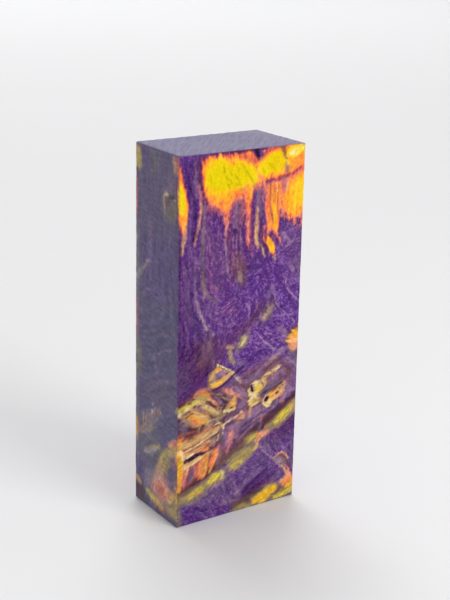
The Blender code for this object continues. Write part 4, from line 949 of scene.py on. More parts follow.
RIGHT_STREAKS = [
    ("red", 1.0, 0.8, [(50, 123.5, 0.5), (56, 124.2, 0.6), (63, 122.8, 0.5), (69, 119, 0.4)]),
    ("yellow", 0.9, 0.9, [(49.4, 37, 1.0), (55, 40.4, 0.9), (61, 43.8, 0.6), (66, 46.6, 0.3)]),
    ("yellow", 0.9, 0.7, [(70, 49.6, 0.3), (75, 52.4, 0.7), (79.6, 55, 0.8)]),
    ("slate", 1.4, 0.6, [(49.4, 53, 1.6), (54, 54, 1.2), (59, 55.4, 0.5)]),
    ("cream", 1.0, 0.5, [(50, 49.6, 0.4), (52.6, 46.8, 0.5), (57, 45.6, 0.4)]),
    ("red", 1.0, 0.8, [(49.4, 8.4, 1.0), (53, 8.6, 0.9), (57, 8, 0.4)]),
    ("orange", 0.9, 1.0, [(49.4, 6.6, 1.2), (53, 7, 0.9), (56, 6.6, 0.4)]),
    ("gold", 0.9, 1.0, [(49.4, 5.2, 0.9), (54, 4.6, 0.8), (59, 2.6, 0.6)]),
    ("olive", 1.2, 0.8, [(57, 3, 0.6), (63, 3.4, 1.0), (69, 2.2, 0.8)]),
    ("tan", 1.2, 0.5, [(71.6, 112, 0.4), (71, 100, 0.7), (71.4, 88, 0.7), (73.6, 78, 0.4)]),
    ("mauve", 1.2, 0.5, [(66.4, 108, 0.4), (65.6, 98, 0.6), (66.6, 88, 0.6), (69.4, 78, 0.4)]),
    ("tan", 1.0, 0.5, [(75.4, 104, 0.4), (75.2, 92, 0.5), (76.6, 82, 0.4)]),
    # a small eye with its rings
    ("cream", 0.9, 0.85, [(61.4, 79.4, 0.6), (62.6, 81, 0.8), (64.6, 81.2, 0.7)]),
    ("gold", 0.9, 0.9, [(62, 79.6, 0.7), (63.6, 79.8, 0.9), (65, 80.4, 0.5)]),
    ("ink", 0.8, 0.9, [(63, 80, 0.5), (63.8, 80.4, 0.5)]),
    ("mauve", 1.0, 0.4, [(59.6, 77.6, 0.4), (60.6, 82, 0.5), (64.4, 84, 0.5), (67.6, 82.6, 0.4)]),
    ("lilac", 1.4, 0.4, [(52, 28, 0.6), (60, 31, 0.8), (70, 35, 0.7), (79, 38, 0.5)]),
    ("maroon", 1.2, 0.6, [(51, 16, 0.5), (60, 20, 0.7), (70, 25, 0.7), (79, 30, 0.5)]),
]

# The back, from 79 to 129: the same bands seen from behind, in a pattern of its own
BACK_AREAS = [
    ("deep", 6.0, 0.45, BACK_SIDE, 1),
    ("heather", 6.0, 0.3, BACK_SIDE, -1),
    ("plum", 6.0, 0.5, [(84, 118), (124, 118), (120, 96), (100, 88), (86, 96)]),
    ("heather", 6.0, 0.5, [(79, 66), (100, 62), (129, 46), (129, 36), (100, 44), (79, 56)]),
    ("lilac", 8.0, 0.25, [(84, 100), (100, 104), (118, 98), (122, 84), (108, 76), (90, 80)]),
    ("deep", 8.0, 0.35, [(80, 48), (92, 40), (100, 26), (96, 10), (82, 8)]),
    # the golden patch at the head, with tongues that run down from it
    ("wine", 3.0, 0.7, [(80, 131.6), (122, 131.6), (119, 122), (113, 118), (111, 107), (105.6, 100),
        (100, 112), (95, 96), (90.6, 109), (84, 118)]),
    ("orange", 2.4, 1.0, [(82, 131.6), (119, 131.6), (116, 124.6), (110, 121), (107.6, 112),
        (105.4, 105), (103, 115), (99.4, 117), (95.6, 106), (93.6, 112), (89, 117), (84.6, 124)]),
    ("gold", 2.4, 1.0, [(85, 131.6), (101, 131.6), (101.6, 124), (98, 119), (94.6, 114), (91, 119),
        (87, 125)]),
    ("gold", 2.4, 1.0, [(104, 131.6), (116, 131.6), (112, 126), (107, 122), (105.4, 115),
        (103.6, 122)]),
    ("yellow", 2.6, 1.0, [(87, 130.4), (99.6, 130), (98, 124.6), (94.6, 119.6), (90, 123)]),
    ("olive", 3.0, 0.6, [(122, 130), (130, 130), (130, 120), (125, 121)]),
    ("rose", 2.4, 0.4, [(127, 119), (130, 119), (130, 105), (127.4, 106)]),
    # the upper band
    ("deep", 4.0, 0.5, [(78.4, 86), (92, 80.6), (129.6, 62), (129.6, 56), (92, 75), (78.4, 80)]),
    ("olive", 2.4, 0.8, [(104, 73.6), (112, 70.4), (117, 66), (110, 66.6), (104, 70)]),
    ("olive", 2.4, 0.7, [(83, 84.6), (90, 82), (94, 78), (88, 78.6), (82, 81.4)]),
    ("sage", 3.0, 0.6, [(122, 63), (130, 60), (130, 46), (125, 49), (120, 58)]),
    # the lower band
    ("bark", 2.4, 0.75, [(78.4, 60.6), (112, 40.6), (129.6, 31.6), (129.6, 29), (112, 37.4),
        (78.4, 57.4)]),
    ("olive", 2.2, 0.9, [(78.4, 57), (88, 51.6), (98, 45.6), (97.6, 42), (88, 47.6), (78.4, 53)]),
    ("olive", 2.2, 0.85, [(99, 44.6), (109, 38), (114, 35), (113, 31.8), (106, 35.6), (99, 40.6)]),
    ("orange", 2.0, 0.8, [(115, 34.6), (122, 31.4), (129.6, 29.6), (129.6, 24.6), (121, 27.4),
        (115.4, 31)]),
    # a warm pocket near the foot
    ("wine", 2.6, 0.8, [(96, 5), (100, 13), (106, 18.6), (114, 21), (121, 17), (116, 9), (112, 6),
        (105, 1)]),
    ("orange", 2.2, 1.0, [(99, 6), (102.6, 12), (107, 16), (113.6, 18), (117, 15), (112, 10.4),
        (109, 7), (103, 3)]),
    ("gold", 2.2, 0.9, [(101, 6), (105, 12), (111, 15.4), (113, 13.6), (107, 8.4)]),
    ("brown", 2.2, 0.6, [(121, 9), (130, 9), (130, 4), (123, 3)]),
]
BACK_STREAKS = [
    ("salmon", 1.2, 0.9, [(95.2, 108, 0.9), (95.1, 102, 0.8), (94.6, 95.6, 0.4)]),
    ("salmon", 1.2, 0.8, [(105, 108, 0.9), (105.4, 99.6, 0.4)]),
    ("tan", 1.2, 0.7, [(99, 114, 0.4), (98.8, 106, 0.6), (97.8, 97, 0.4)]),
    ("orange", 1.0, 0.9, [(110.4, 120, 0.7), (110.6, 111, 0.8), (112, 101.6, 0.4)]),
    ("tan", 1.2, 0.6, [(114.4, 118, 0.4), (115, 109, 0.6), (115.8, 101, 0.4)]),
    ("wine", 1.2, 0.8, [(101.4, 117, 0.6), (101.6, 107, 0.9), (101, 99, 0.5)]),
    ("wine", 1.2, 0.7, [(107.8, 112, 0.6), (108.2, 99, 0.6)]),
    ("red", 1.2, 0.7, [(103.4, 129, 0.5), (103, 124, 0.7), (100.6, 119.6, 0.4)]),
    ("ink", 1.2, 0.8, [(82, 131.2, 0.7), (98, 131, 0.6), (118, 131.3, 0.7)]),
    ("mauve", 1.4, 0.45, [(84.6, 112, 0.4), (84.2, 104, 0.7), (85.4, 94, 0.7), (89, 84.6, 0.5)]),
    ("mauve", 1.4, 0.4, [(119.6, 118, 0.4), (119, 104, 0.6), (117.4, 92, 0.7), (113.6, 81, 0.5)]),
    ("mauve", 1.2, 0.4, [(90.4, 99, 0.4), (91.6, 92, 0.5), (95.2, 86.6, 0.5), (100.4, 83.6, 0.4)]),
    ("sand", 1.2, 0.4, [(123.6, 90, 0.4), (120.6, 84, 0.5), (115.4, 78.6, 0.5), (110, 76, 0.4)]),
    # the upper band's crack and gold
    ("ink", 1.1, 0.8, [(88, 77.4, 0.4), (96, 74.6, 0.6), (104, 70.6, 0.6), (112, 66, 0.6),
        (119, 61.4, 0.4)]),
    ("orange", 1.1, 0.9, [(95.6, 77, 0.5), (100.6, 74.8, 1.2), (105, 72.4, 0.7)]),
    ("gold", 1.0, 0.8, [(98, 75.9, 0.5), (103.4, 73.5, 0.6)]),
    # a cluster of eyes between the bands
    ("cream", 1.0, 0.9, [(91.6, 61.8, 0.6), (93.4, 63.6, 1.2), (97.4, 63.6, 0.5)]),
    ("gold", 0.9, 0.9, [(92.4, 61.2, 0.7), (94.2, 62, 1.1), (96.6, 62.2, 0.7)]),
    ("ink", 0.8, 0.9, [(93.4, 62.6, 0.6), (94.8, 61.9, 0.5)]),
    ("cream", 1.0, 0.85, [(100.6, 57.4, 0.7), (102.4, 58.6, 1.0), (105, 58.2, 0.6)]),
    ("gold", 0.9, 0.95, [(100.8, 56.2, 0.7), (102.8, 56.8, 1.0), (105, 56.6, 0.6)]),
    ("ink", 0.8, 0.9, [(102.2, 57.4, 0.6), (103.2, 57, 0.4)]),
    ("orange", 1.1, 0.9, [(109, 56, 0.5), (112, 54, 1.1), (115, 51, 0.6)]),
    ("salmon", 1.0, 0.7, [(86, 66.4, 0.4), (89.4, 64.6, 0.6), (92, 60.6, 0.4)]),
    ("tan", 1.2, 0.6, [(79.4, 64.4, 0.4), (86, 60.6, 0.5), (93, 56.2, 0.5), (99, 52, 0.4)]),
    ("tan", 1.2, 0.6, [(104, 46.6, 0.4), (111, 43, 0.6), (119, 39.2, 0.6), (128, 35.6, 0.4)]),
    ("salmon", 1.2, 0.5, [(107, 48.8, 0.4), (114, 45.4, 0.5), (122, 42, 0.5), (129, 40, 0.4)]),
    ("yellow", 1.2, 0.7, [(80, 55, 0.8), (86, 51.6, 0.9), (91, 48.4, 0.5)]),
    ("yellow", 1.2, 0.6, [(101, 42, 0.5), (105.6, 38.9, 0.8), (109.4, 36.4, 0.4)]),
    ("gold", 1.0, 0.8, [(117, 32.6, 0.5), (122, 30, 0.8), (128.6, 27.6, 0.7)]),
    ("pink", 1.0, 0.6, [(96.6, 40, 0.4), (95.4, 34, 0.5), (92.4, 28.6, 0.5), (88, 25, 0.4)]),
    ("lilac", 1.4, 0.4, [(80, 34, 0.6), (92, 27.4, 0.8), (106, 22.6, 0.7), (120, 19.4, 0.5)]),
    ("maroon", 1.4, 0.6, [(80, 26, 0.6), (92, 20.4, 0.8), (100, 17, 0.5)]),
    ("umber", 1.2, 0.7, [(101, 12.6, 0.4), (106, 11, 0.7), (112, 8.6, 0.5)]),
    ("olive", 1.4, 0.8, [(80, 2, 0.6), (86, 3.4, 1.0), (92, 2.4, 1.0), (98, 0.6, 0.6)]),
    ("gold", 1.2, 0.9, [(84, 3, 0.5), (88, 3.6, 0.9), (92, 2.2, 0.5)]),
]

# The ends: across from the left, and back from the front edge
TOP_AREAS = [
    ("rose", 8.0, 0.5, [(40, -1), (51, -1), (51, 30), (44, 30)]),
    ("cream", 8.0, 0.5, [(43, 20), (51, 14), (51, 30), (40, 30)]),
    ("sage", 6.0, 0.4, [(28, -1), (36, 6), (38, 30), (30, 30)]),
]
TOP_STREAKS = [
    ("ink", 3.0, 0.9, [(0, -0.4, 1.2), (20, -0.6, 0.8), (34, -0.6, 0.6)]),
    ("maroon", 3.0, 1.0, [(34, -0.6, 0.8), (38, -0.2, 1.4), (44, -0.4, 0.9)]),
    ("tan", 2.0, 0.8, [(46, 0, 0.6), (50.6, 2, 0.8)]),
    ("sage", 2.0, 0.5, [(0, 24, 0.3), (3, 29, 0.5)]),
    ("cream", 1.6, 0.4, [(30, 12, 0.3), (33, 18, 0.5)]),
    ("rose", 2.0, 0.4, [(14, 4, 0.3), (17, 10, 0.6)]),
]
BOTTOM_AREAS = [
    ("rose", 8.0, 0.4, [(-1, -1), (14, -1), (12, 30), (-1, 30)]),
    ("olive", 5.0, 0.5, [(30, 18), (42, 20), (44, 27), (30, 26)]),
    ("brown", 4.0, 0.5, [(44, 22), (51, 24), (51, 30), (42, 30)]),
]
BOTTOM_STREAKS = [
    ("slate", 1.2, 0.4, [(4, 25, 0.3), (20, 17, 0.4), (36, 5, 0.3)]),
    ("mauve", 1.4, 0.4, [(14, 27, 0.3), (30, 16, 0.5), (46, 4, 0.4)]),
]

# How the grain runs: (around, up, angle in degrees from straight across)
GRAIN_RUNS = [
    (5, 125, 96), (5, 105, 88), (12, 122, 84), (20, 122, 115), (26, 121, 118), (22, 108, 88),
    (31, 105, 98), (38, 110, 94), (46, 118, 70), (46, 110, 90), (36, 98, 112), (45, 97, 20),
    (46, 88, 120), (36, 124, 60), (46, 129, 40), (3, 85, 97), (9.5, 90, 96), (12, 83, 125),
    (14, 79, 140), (8, 79, 108), (11, 73, 120), (5, 70, 95), (18, 90, 100), (24, 88, 115), (30, 86, 15),
    (26, 80, 155), (20, 78, 30), (28, 74, 92), (35, 82, 100), (40, 77, 112), (44, 71, 140),
    (48, 68, 150), (45, 80, 118), (48, 76, 145), (38, 68, 155), (33, 65, 142), (38, 61, 150),
    (43, 59, 170), (30, 71, 42), (24, 66, 45), (15, 60, 60), (5, 60, 60), (8, 52, 45), (30, 60, 150),
    (4, 45, 28), (11, 48, 160), (12, 42, 145), (8, 39, 150), (20, 51, 30), (28, 56, 32), (22, 46, 145),
    (28, 46, 140), (33, 50, 35), (39, 52, 30), (46, 53, 142), (48, 45, 60), (34, 43, 28), (40, 42, 32),
    (12, 33, 28), (5, 30, 12), (5, 26, 18), (12, 27, 14), (22, 36, 24), (28, 34, 28), (34, 35, 28),
    (40, 36, 30), (47, 40, 40), (10, 20, 68), (3, 19, 66), (15, 22, 66), (21, 29, 65), (18, 31, 85),
    (8, 14, 24), (18, 19, 30), (26, 25, 33), (33, 30, 35), (45, 33, 38), (25, 19, 35), (8, 11, 25),
    (10, 5, 140), (16, 4, 125), (27, 14, 145), (20, 10, 110), (30, 10, 33), (40, 16, 35), (40, 24, 120),
    (46, 24, 140), (47, 14, 122), (35, 4, 25), (46, 3, 22), (38, 19, 130), (-26, 110, 90),
    (-15, 120, 88), (-8, 110, 88), (-20, 70, 22), (-10, 55, 20), (-22, 40, 30), (-14, 33, 40),
    (-10, 12, 55), (-4, 18, 75), (-24, 10, 80), (60, 118, 80), (58, 95, 60), (72, 95, 92), (64, 80, 30),
    (56, 62, 160), (64, 47, 32), (64, 25, 25), (56, 6, 170), (86, 115, 98), (104, 112, 86),
    (120, 110, 92), (96, 92, 125), (112, 84, 50), (90, 79, 155), (112, 68, 150), (98, 60, 150),
    (90, 50, 150), (120, 40, 158), (106, 36, 148), (92, 30, 60), (108, 10, 75), (120, 18, 165),
    (86, 8, 170),
]


def smooth(amount):
    """Ease from 0 to 1 as the amount goes from 0 to 1."""
    amount = np.clip(amount, 0.0, 1.0)
    return amount * amount * (3.0 - 2.0 * amount)


def noise(around, up, cell, seed):
    """Soft noise from -1 to 1 that meets itself after one turn round the block."""
    columns = max(2, round(AROUND / cell))
    lattice = np.random.default_rng(seed).uniform(-1.0, 1.0, (columns, NOISE_ROWS))
    across = around * columns / AROUND
    along = up / cell + NOISE_BELOW
    column = np.floor(across).astype(int)
    row = np.floor(along).astype(int)
    right = smooth(across - column)
    above = smooth(along - row)

    def in_row(number):
        here, there = lattice[column % columns, number], lattice[(column + 1) % columns, number]
        return here * (1 - right) + there * right

    return in_row(row % NOISE_ROWS) * (1 - above) + in_row((row + 1) % NOISE_ROWS) * above


def grain_direction(around, up):
    """The way the grain runs at each place, as a unit vector."""
    double_across = np.zeros_like(around)
    double_up = np.zeros_like(around)
    for run_around, run_up, angle in GRAIN_RUNS:
        step = (around - run_around + AROUND / 2) % AROUND - AROUND / 2
        pull = 1.0 / ((step**2 + (up - run_up) ** 2) ** GRAIN_FALL + GRAIN_NEAR)
        double_across += pull * math.cos(math.radians(2 * angle))
        double_up += pull * math.sin(math.radians(2 * angle))
    angle = np.arctan2(double_up, double_across) / 2
    return np.cos(angle), np.sin(angle)


def drawn_noise(around, up, grain, cell, reach, seed):
    """Noise drawn out along the grain, with a spread of one."""
    total = np.zeros_like(around)
    for step in np.linspace(-reach, reach, DRAWN_STEPS):
        total += noise(around + grain[0] * step, up + grain[1] * step, cell, seed)
    return total / total.std()


def patches(around, up, sizes, seed):
    """Soft patches of each cell size and strength, one over the other."""
    made = 0.0
    for number, (cell, strength) in enumerate(sizes):
        made = made + strength * noise(around, up, cell, seed + number)
    return made


def smooth_line(points, steps=4):
    """A rounded line through the points."""
    points = np.array(points, float)
    if len(points) < 3:
        return points
    before = np.vstack([2 * points[0] - points[1], points[:-2]])
    after = np.vstack([points[2:], 2 * points[-1] - points[-2]])
    made = []
    for a, b, c, d in zip(before, points[:-1], points[1:], after):
        for t in np.arange(steps) / steps:
            bend = 2 * a - 5 * b + 4 * c - d + t * (3 * (b - c) + d - a)
            made.append(b + 0.5 * t * (c - a + t * bend))
    made.append(points[-1])
    return np.array(made)


def inside_line(around, up, points):
    """How far each place is inside a line of changing width, in millimetres."""
    depth = np.full(around.shape, -FAR_OFF)
    line = smooth_line(points)
    for (x0, y0, half0), (x1, y1, half1) in zip(line, line[1:]):
        step = np.array([x1 - x0, y1 - y0])
        along = ((around - x0) * step[0] + (up - y0) * step[1]) / max(step @ step, 1e-9)
        along = np.clip(along, 0.0, 1.0)
        off = np.hypot(around - x0 - along * step[0], up - y0 - along * step[1])
        depth = np.maximum(depth, half0 + (half1 - half0) * along - off)
    return depth


def inside_area(around, up, outline):
    """How far each place is inside an outline, in millimetres."""
    inside = np.zeros(around.shape, bool)
    off = np.full(around.shape, FAR_OFF)
    for (x0, y0), (x1, y1) in zip(outline, outline[1:] + outline[:1]):
        step = np.array([x1 - x0, y1 - y0])
        along = ((around - x0) * step[0] + (up - y0) * step[1]) / (step @ step)
        along = np.clip(along, 0.0, 1.0)
        off = np.minimum(off, np.hypot(around - x0 - along * step[0], up - y0 - along * step[1]))
        if y0 != y1:
            crosses = (y0 > up) != (y1 > up)
            inside ^= crosses & (around < x0 + (up - y0) * (x1 - x0) / (y1 - y0))
    return np.where(inside, off, -off)


def linear(colour):
    """A display colour from 0 to 255 as linear light."""
    share = np.array(colour) / 255
    return np.where(share <= 0.04045, share / 12.92, ((share + 0.055) / 1.055) ** 2.4)


class Figure:
    """The figure at a set of places on one side of the block.

    It keeps the heat and value of the dye, the stain and how far it covers, the way of the grain,
    and the small figure that runs along it: curl, fibres and strands.
    """

    def __init__(self, around, up, seed):
        self.around = around
        self.up = up
        self.grain = grain_direction(around, up)
        self.curl = drawn_noise(around, up, self.grain, *CURL, seed)
        self.fibre = drawn_noise(around, up, self.grain, *FIBRE, seed + 1)
        self.strand = drawn_noise(around, up, self.grain, *STRAND, seed + 2)
        self.value = patches(around, up, VALUE_PATCHES, seed + 3)
        self.heat = GROUND_HEAT + patches(around, up, HEAT_PATCHES, seed + 5)
        self.stain = np.tile(linear(STAINS["slate"]), (len(around), 1))
        self.cover = GROUND_COVER + patches(around, up, COVER_PATCHES, seed + 6)
        self.shift = [patches(around, up, WANDERING, seed + 7), patches(around, up, WANDERING, seed + 9)]

    def moved(self, much, comb):
        """The places, moved a little so that edges wander and fray along the grain."""
        tooth = comb * (FRAYED_BY_FIBRE * self.fibre + FRAYED_BY_CURL * self.curl)
        around = self.around + much * self.shift[0] + tooth * self.grain[0]
        return around, self.up + much * self.shift[1] + tooth * self.grain[1]

    def lay(self, name, share):
        """Soak a dye or a stain in over what is there."""
        if name in DYES:
            heat, value = DYES[name]
            self.heat += (heat - self.heat) * share
            self.value += (value - self.value) * share
            self.cover *= 1 - share
            return
        left = self.cover * (1 - share)
        self.cover = left + share
        part = np.where(self.cover > 0, share / np.maximum(self.cover, 1e-6), 0)[:, None]
        self.stain += (linear(STAINS[name]) - self.stain) * part

    def areas(self, areas):
        """Lay the areas down in order, whole or in strands."""
        around, up = self.moved(*AREA_EDGES)
        for name, softness, strength, outline, *strand in areas:
            share = strength * smooth(inside_area(around, up, outline) / softness + 0.5)
            if strand:
                share = share * smooth(0.5 + STRAND_EDGE * strand[0] * self.strand)
            self.lay(name, share)

    def lines(self, lines):
        """Lay areas down as fine lines along the fibres."""
        for name, softness, strength, outline, side in lines:
            depth = inside_area(self.around, self.up, outline)
            self.lay(name, strength * smooth(depth / softness + 0.5) * smooth(side * self.fibre))

    def streaks(self, streaks):
        """Lay the streaks down in order, with edges as rough as the curl."""
        around, up = self.moved(*STREAK_EDGES)
        rough = STREAK_ROUGH * self.curl
        for name, softness, strength, line in streaks:
            depth = inside_line(around, up, line) + rough
            self.lay(name, strength * smooth(depth / softness + 0.5))

    def carried(self):
        """The numbers that the mesh carries to the material."""
        return {
            "dye_heat": self.heat,
            "dye_value": self.value,
            "stain_cover": self.cover,
            "curl": self.curl,
            "fibre": self.fibre,
        }


class Face:
    """One flat side of the block: where its grid starts, which way it runs, and its spacing."""

    def __init__(self, name, start, across, up, size, spacing, sheet):
        self.name = name
        self.start = np.array(start)
        self.across = np.array(across)
        self.up = np.array(up)
        self.size = size
        self.spacing = spacing
        self.sheet = sheet

    def grid(self, first):
        """The face's points, set in from the edges that are rounded off. Keeps their numbers."""
        columns, rows = [max(2, math.ceil((side - 2 * EDGE_ROUND) / self.spacing)) for side in self.size]
        u = np.linspace(EDGE_ROUND, self.size[0] - EDGE_ROUND, columns + 1)
        v = np.linspace(EDGE_ROUND, self.size[1] - EDGE_ROUND, rows + 1)
        self.numbers = first + np.arange((rows + 1) * (columns + 1)).reshape(rows + 1, columns + 1)
        u, v = np.meshgrid(u, v)
        self.places = np.stack([u.ravel(), v.ravel()], axis=1)
        return self.start + self.places[:, :1] * self.across + self.places[:, 1:] * self.up

    def squares(self):
        """The grid's squares as four point numbers each."""
        n = self.numbers
        return np.stack([n[:-1, :-1], n[:-1, 1:], n[1:, 1:], n[1:, :-1]], axis=-1).reshape(-1, 4)

    def borders(self):
        """The middle of each sharp edge, with the numbers of the points along it."""
        wide, high = self.size[0] * self.across, self.size[1] * self.up
        return [
            (self.start + wide / 2, self.numbers[0]),
            (self.start + wide / 2 + high, self.numbers[-1]),
            (self.start + high / 2, self.numbers[:, 0]),
            (self.start + high / 2 + wide, self.numbers[:, -1]),
        ]

    def corners(self):
        """Each sharp corner, with the number of the point next to it."""
        wide, high = self.size[0] * self.across, self.size[1] * self.up
        return [
            (self.start, self.numbers[0, 0]),
            (self.start + wide, self.numbers[0, -1]),
            (self.start + high, self.numbers[-1, 0]),
            (self.start + wide + high, self.numbers[-1, -1]),
        ]


def block_faces():
    """The six sides. Each one's last value is its place on a flat sheet, in millimetres."""
    x, y = WIDTH / 2, THICKNESS / 2
    upright = (0, 0, 1)
    wide, narrow, end = (WIDTH, LENGTH), (THICKNESS, LENGTH), (WIDTH, THICKNESS)
    right_at = WIDTH + SHEET_GAP
    back_at = right_at + THICKNESS + SHEET_GAP
    left_at = back_at + WIDTH + SHEET_GAP
    ends_at = LENGTH + SHEET_GAP
    return [
        Face("front", (-x, -y, 0), (1, 0, 0), upright, wide, FRONT_SPACING, (0, 0)),
        Face("right", (x, -y, 0), (0, 1, 0), upright, narrow, SIDE_SPACING, (right_at, 0)),
        Face("back", (x, y, 0), (-1, 0, 0), upright, wide, SIDE_SPACING, (back_at, 0)),
        Face("left", (-x, y, 0), (0, -1, 0), upright, narrow, LEFT_SPACING, (left_at, 0)),
        Face("top", (-x, -y, LENGTH), (1, 0, 0), (0, 1, 0), end, SIDE_SPACING, (0, ends_at)),
        Face("bottom", (-x, y, 0), (1, 0, 0), (0, -1, 0), end, SIDE_SPACING, (right_at, ends_at)),
    ]


def key(place):
    """A place as something that can be looked up."""
    return tuple(round(float(value), 3) + 0.0 for value in place)


def strip(points, one, other):
    """Triangles that close the gap between two rows of points, whatever their spacing."""
    axis = np.argmax(abs(points[one[-1]] - points[one[0]]))
    one = one[np.argsort(points[one, axis])]
    other = other[np.argsort(points[other, axis])]
    made = []
    i = j = 0
    while i < len(one) - 1 or j < len(other) - 1:
        one_next = points[one[i + 1], axis] if i < len(one) - 1 else np.inf
        other_next = points[other[j + 1], axis] if j < len(other) - 1 else np.inf
        if one_next <= other_next:
            made.append((one[i], one[i + 1], other[j]))
            i += 1
        else:
            made.append((one[i], other[j + 1], other[j]))
            j += 1
    return made


def facing_out(points, triangles):
    """The triangles, turned where needed so that they face away from the block's middle."""
    triangles = np.array(triangles)
    a, b, c = points[triangles].transpose(1, 0, 2)
    away = a + b + c - 3 * np.array([0, 0, LENGTH / 2])
    turned = np.einsum("ij,ij->i", np.cross(b - a, c - a), away) < 0
    triangles[turned] = triangles[turned][:, ::-1]
    return triangles


def closed_block(faces):
    """All points and faces of the block, and the side that each face belongs to."""
    points = []
    first = 0
    for face in faces:
        points.append(face.grid(first))
        first += len(points[-1])
    points = np.vstack(points)
    polygons = []
    owners = []
    edges = {}
    corners = {}
    for face in faces:
        squares = face.squares()
        polygons += squares.tolist()
        owners += [face] * len(squares)
        for middle, numbers in face.borders():
            edges.setdefault(key(middle), []).append((face, numbers))
        for corner, number in face.corners():
            corners.setdefault(key(corner), []).append((face, number))
    for (owner, one), (_, other) in edges.values():
        triangles = facing_out(points, strip(points, one, other))
        polygons += triangles.tolist()
        owners += [owner] * len(triangles)
    for meeting in corners.values():
        polygons += facing_out(points, [[number for _, number in meeting]]).tolist()
        owners.append(meeting[0][0])
    return points, polygons, owners


def hollow_depth(across, up):
    """How deep the front face lies below flat, at each of its points."""
    depth = np.zeros_like(across)
    for x, y, wide, high, deep, lean in EYES:
        turn = math.radians(lean)
        side = (across - x) * math.cos(turn) - (up - y) * math.sin(turn)
        rise = (across - x) * math.sin(turn) + (up - y) * math.cos(turn)
        left = 1 - (side / wide * 2) ** 2 - (rise / high * 2) ** 2
        depth = np.maximum(depth, deep * np.sqrt(np.clip(left, 0, 1)))
    for width, line in GROOVES:
        half = width / 2
        middle = [(x, y, half) for x, y in line[1:-1]]
        tapered = [(*line[0], half * GROOVE_END), *middle, (*line[-1], half * GROOVE_END)]
        depth = np.maximum(depth, np.minimum(half, inside_line(across, up, tapered) + FRONT_SPACING / 4))
    return np.clip(depth, 0, None)


def shaped(points, faces):
    """The points with the hollows cut, the edges worn and the sawn corner leaning in."""
    made = points.copy()
    front = faces[0]
    made[front.numbers.ravel(), 1] += hollow_depth(*front.places.T)
    for number, face in enumerate(faces):
        inward = -np.cross(face.across, face.up)
        rim = np.unique(np.concatenate([numbers for _, numbers in face.borders()]))
        along = points[rim] @ np.array(WEAR_RUN)
        worn = EDGE_WEAR * (1 + noise(along, along * 0.0, WEAR_CELL, WEAR_SEED + number))
        made[rim] += worn[:, None] * inward
    lean = (0.5 - points[:, 0] / WIDTH) * (0.5 + points[:, 1] / THICKNESS) * points[:, 2] / LENGTH
    made[:, 0] += TOP_CORNER_PULLED_IN * np.clip(lean, 0, 1)
    return made


def painted(face):
    """The figure on one side of the block."""
    sides = {
        "front": (FRONT_AREAS, FRONT_STREAKS, 0.0, SIDES_SEED),
        "right": (RIGHT_AREAS, RIGHT_STREAKS, WIDTH, SIDES_SEED),
        "back": (BACK_AREAS, BACK_STREAKS, WIDTH + THICKNESS, SIDES_SEED),
        "left": (LEFT_AREAS, LEFT_STREAKS, -THICKNESS, SIDES_SEED),
        "top": (TOP_AREAS, TOP_STREAKS, 0.0, TOP_SEED),
        "bottom": (BOTTOM_AREAS, BOTTOM_STREAKS, 0.0, BOTTOM_SEED),
    }
    areas, streaks, start, seed = sides[face.name]
    across, up = face.places.T
    figure = Figure(across + start, up, seed)
    figure.areas(areas)
    figure.streaks(streaks)
    if face.name == "front":
        figure.lines(FRONT_LINES)
        # the dark pits: partly dark wood, partly painted shade in the eye hollows
        figure.streaks(FRONT_PITS)
    return figure


def add_numbers(mesh, name, values):
    """Keep one number for each point on the mesh."""
    mesh.attributes.new(name, "FLOAT", "POINT").data.foreach_set("value", np.array(values, np.float32))


def add_sheet(mesh, points, owners):
    """Lay the sides out flat, side by side, so that the finish can be kept as one picture."""
    layer = mesh.uv_layers.new(name="OFBake")
    starts = np.array([face.start for face in owners])
    across = np.array([face.across for face in owners])
    up = np.array([face.up for face in owners])
    sheets = np.array([face.sheet for face in owners])
    sizes = [polygon.loop_total for polygon in mesh.polygons]
    polygon_of = np.repeat(np.arange(len(sizes)), sizes)
    point_of = np.zeros(len(mesh.loops), np.int32)
    mesh.loops.foreach_get("vertex_index", point_of)
    away = points[point_of] - starts[polygon_of]
    u = np.einsum("ij,ij->i", away, across[polygon_of]) + sheets[polygon_of, 0]
    v = np.einsum("ij,ij->i", away, up[polygon_of]) + sheets[polygon_of, 1]
    layer.data.foreach_set("uv", (np.stack([u, v], axis=1) / SHEET).ravel().astype(np.float32))


def make_block():
    """The whole block as one closed mesh that carries its figure."""
    faces = block_faces()
    points, polygons, owners = closed_block(faces)
    mesh = bpy.data.meshes.new("dyed_burl_block")
    mesh.from_pydata((shaped(points, faces) * MM).tolist(), [], polygons)
    mesh.shade_smooth()
    add_sheet(mesh, points, owners)
    figures = [painted(face) for face in faces]
    for name in figures[0].carried():
        add_numbers(mesh, name, np.concatenate([figure.carried()[name] for figure in figures]))
    add_numbers(mesh, "sanded", np.concatenate([np.full(len(f.places), SANDED[f.name]) for f in faces]))
    stain = np.vstack([figure.stain for figure in figures])
    colours = np.hstack([stain, np.ones((len(stain), 1))])
    layer = mesh.color_attributes.new("stain", "FLOAT_COLOR", "POINT")
    layer.data.foreach_set("color", colours.ravel().astype(np.float32))
    block = bpy.data.objects.new("dyed_burl_block", mesh)
    bpy.context.scene.collection.objects.link(block)
    return block


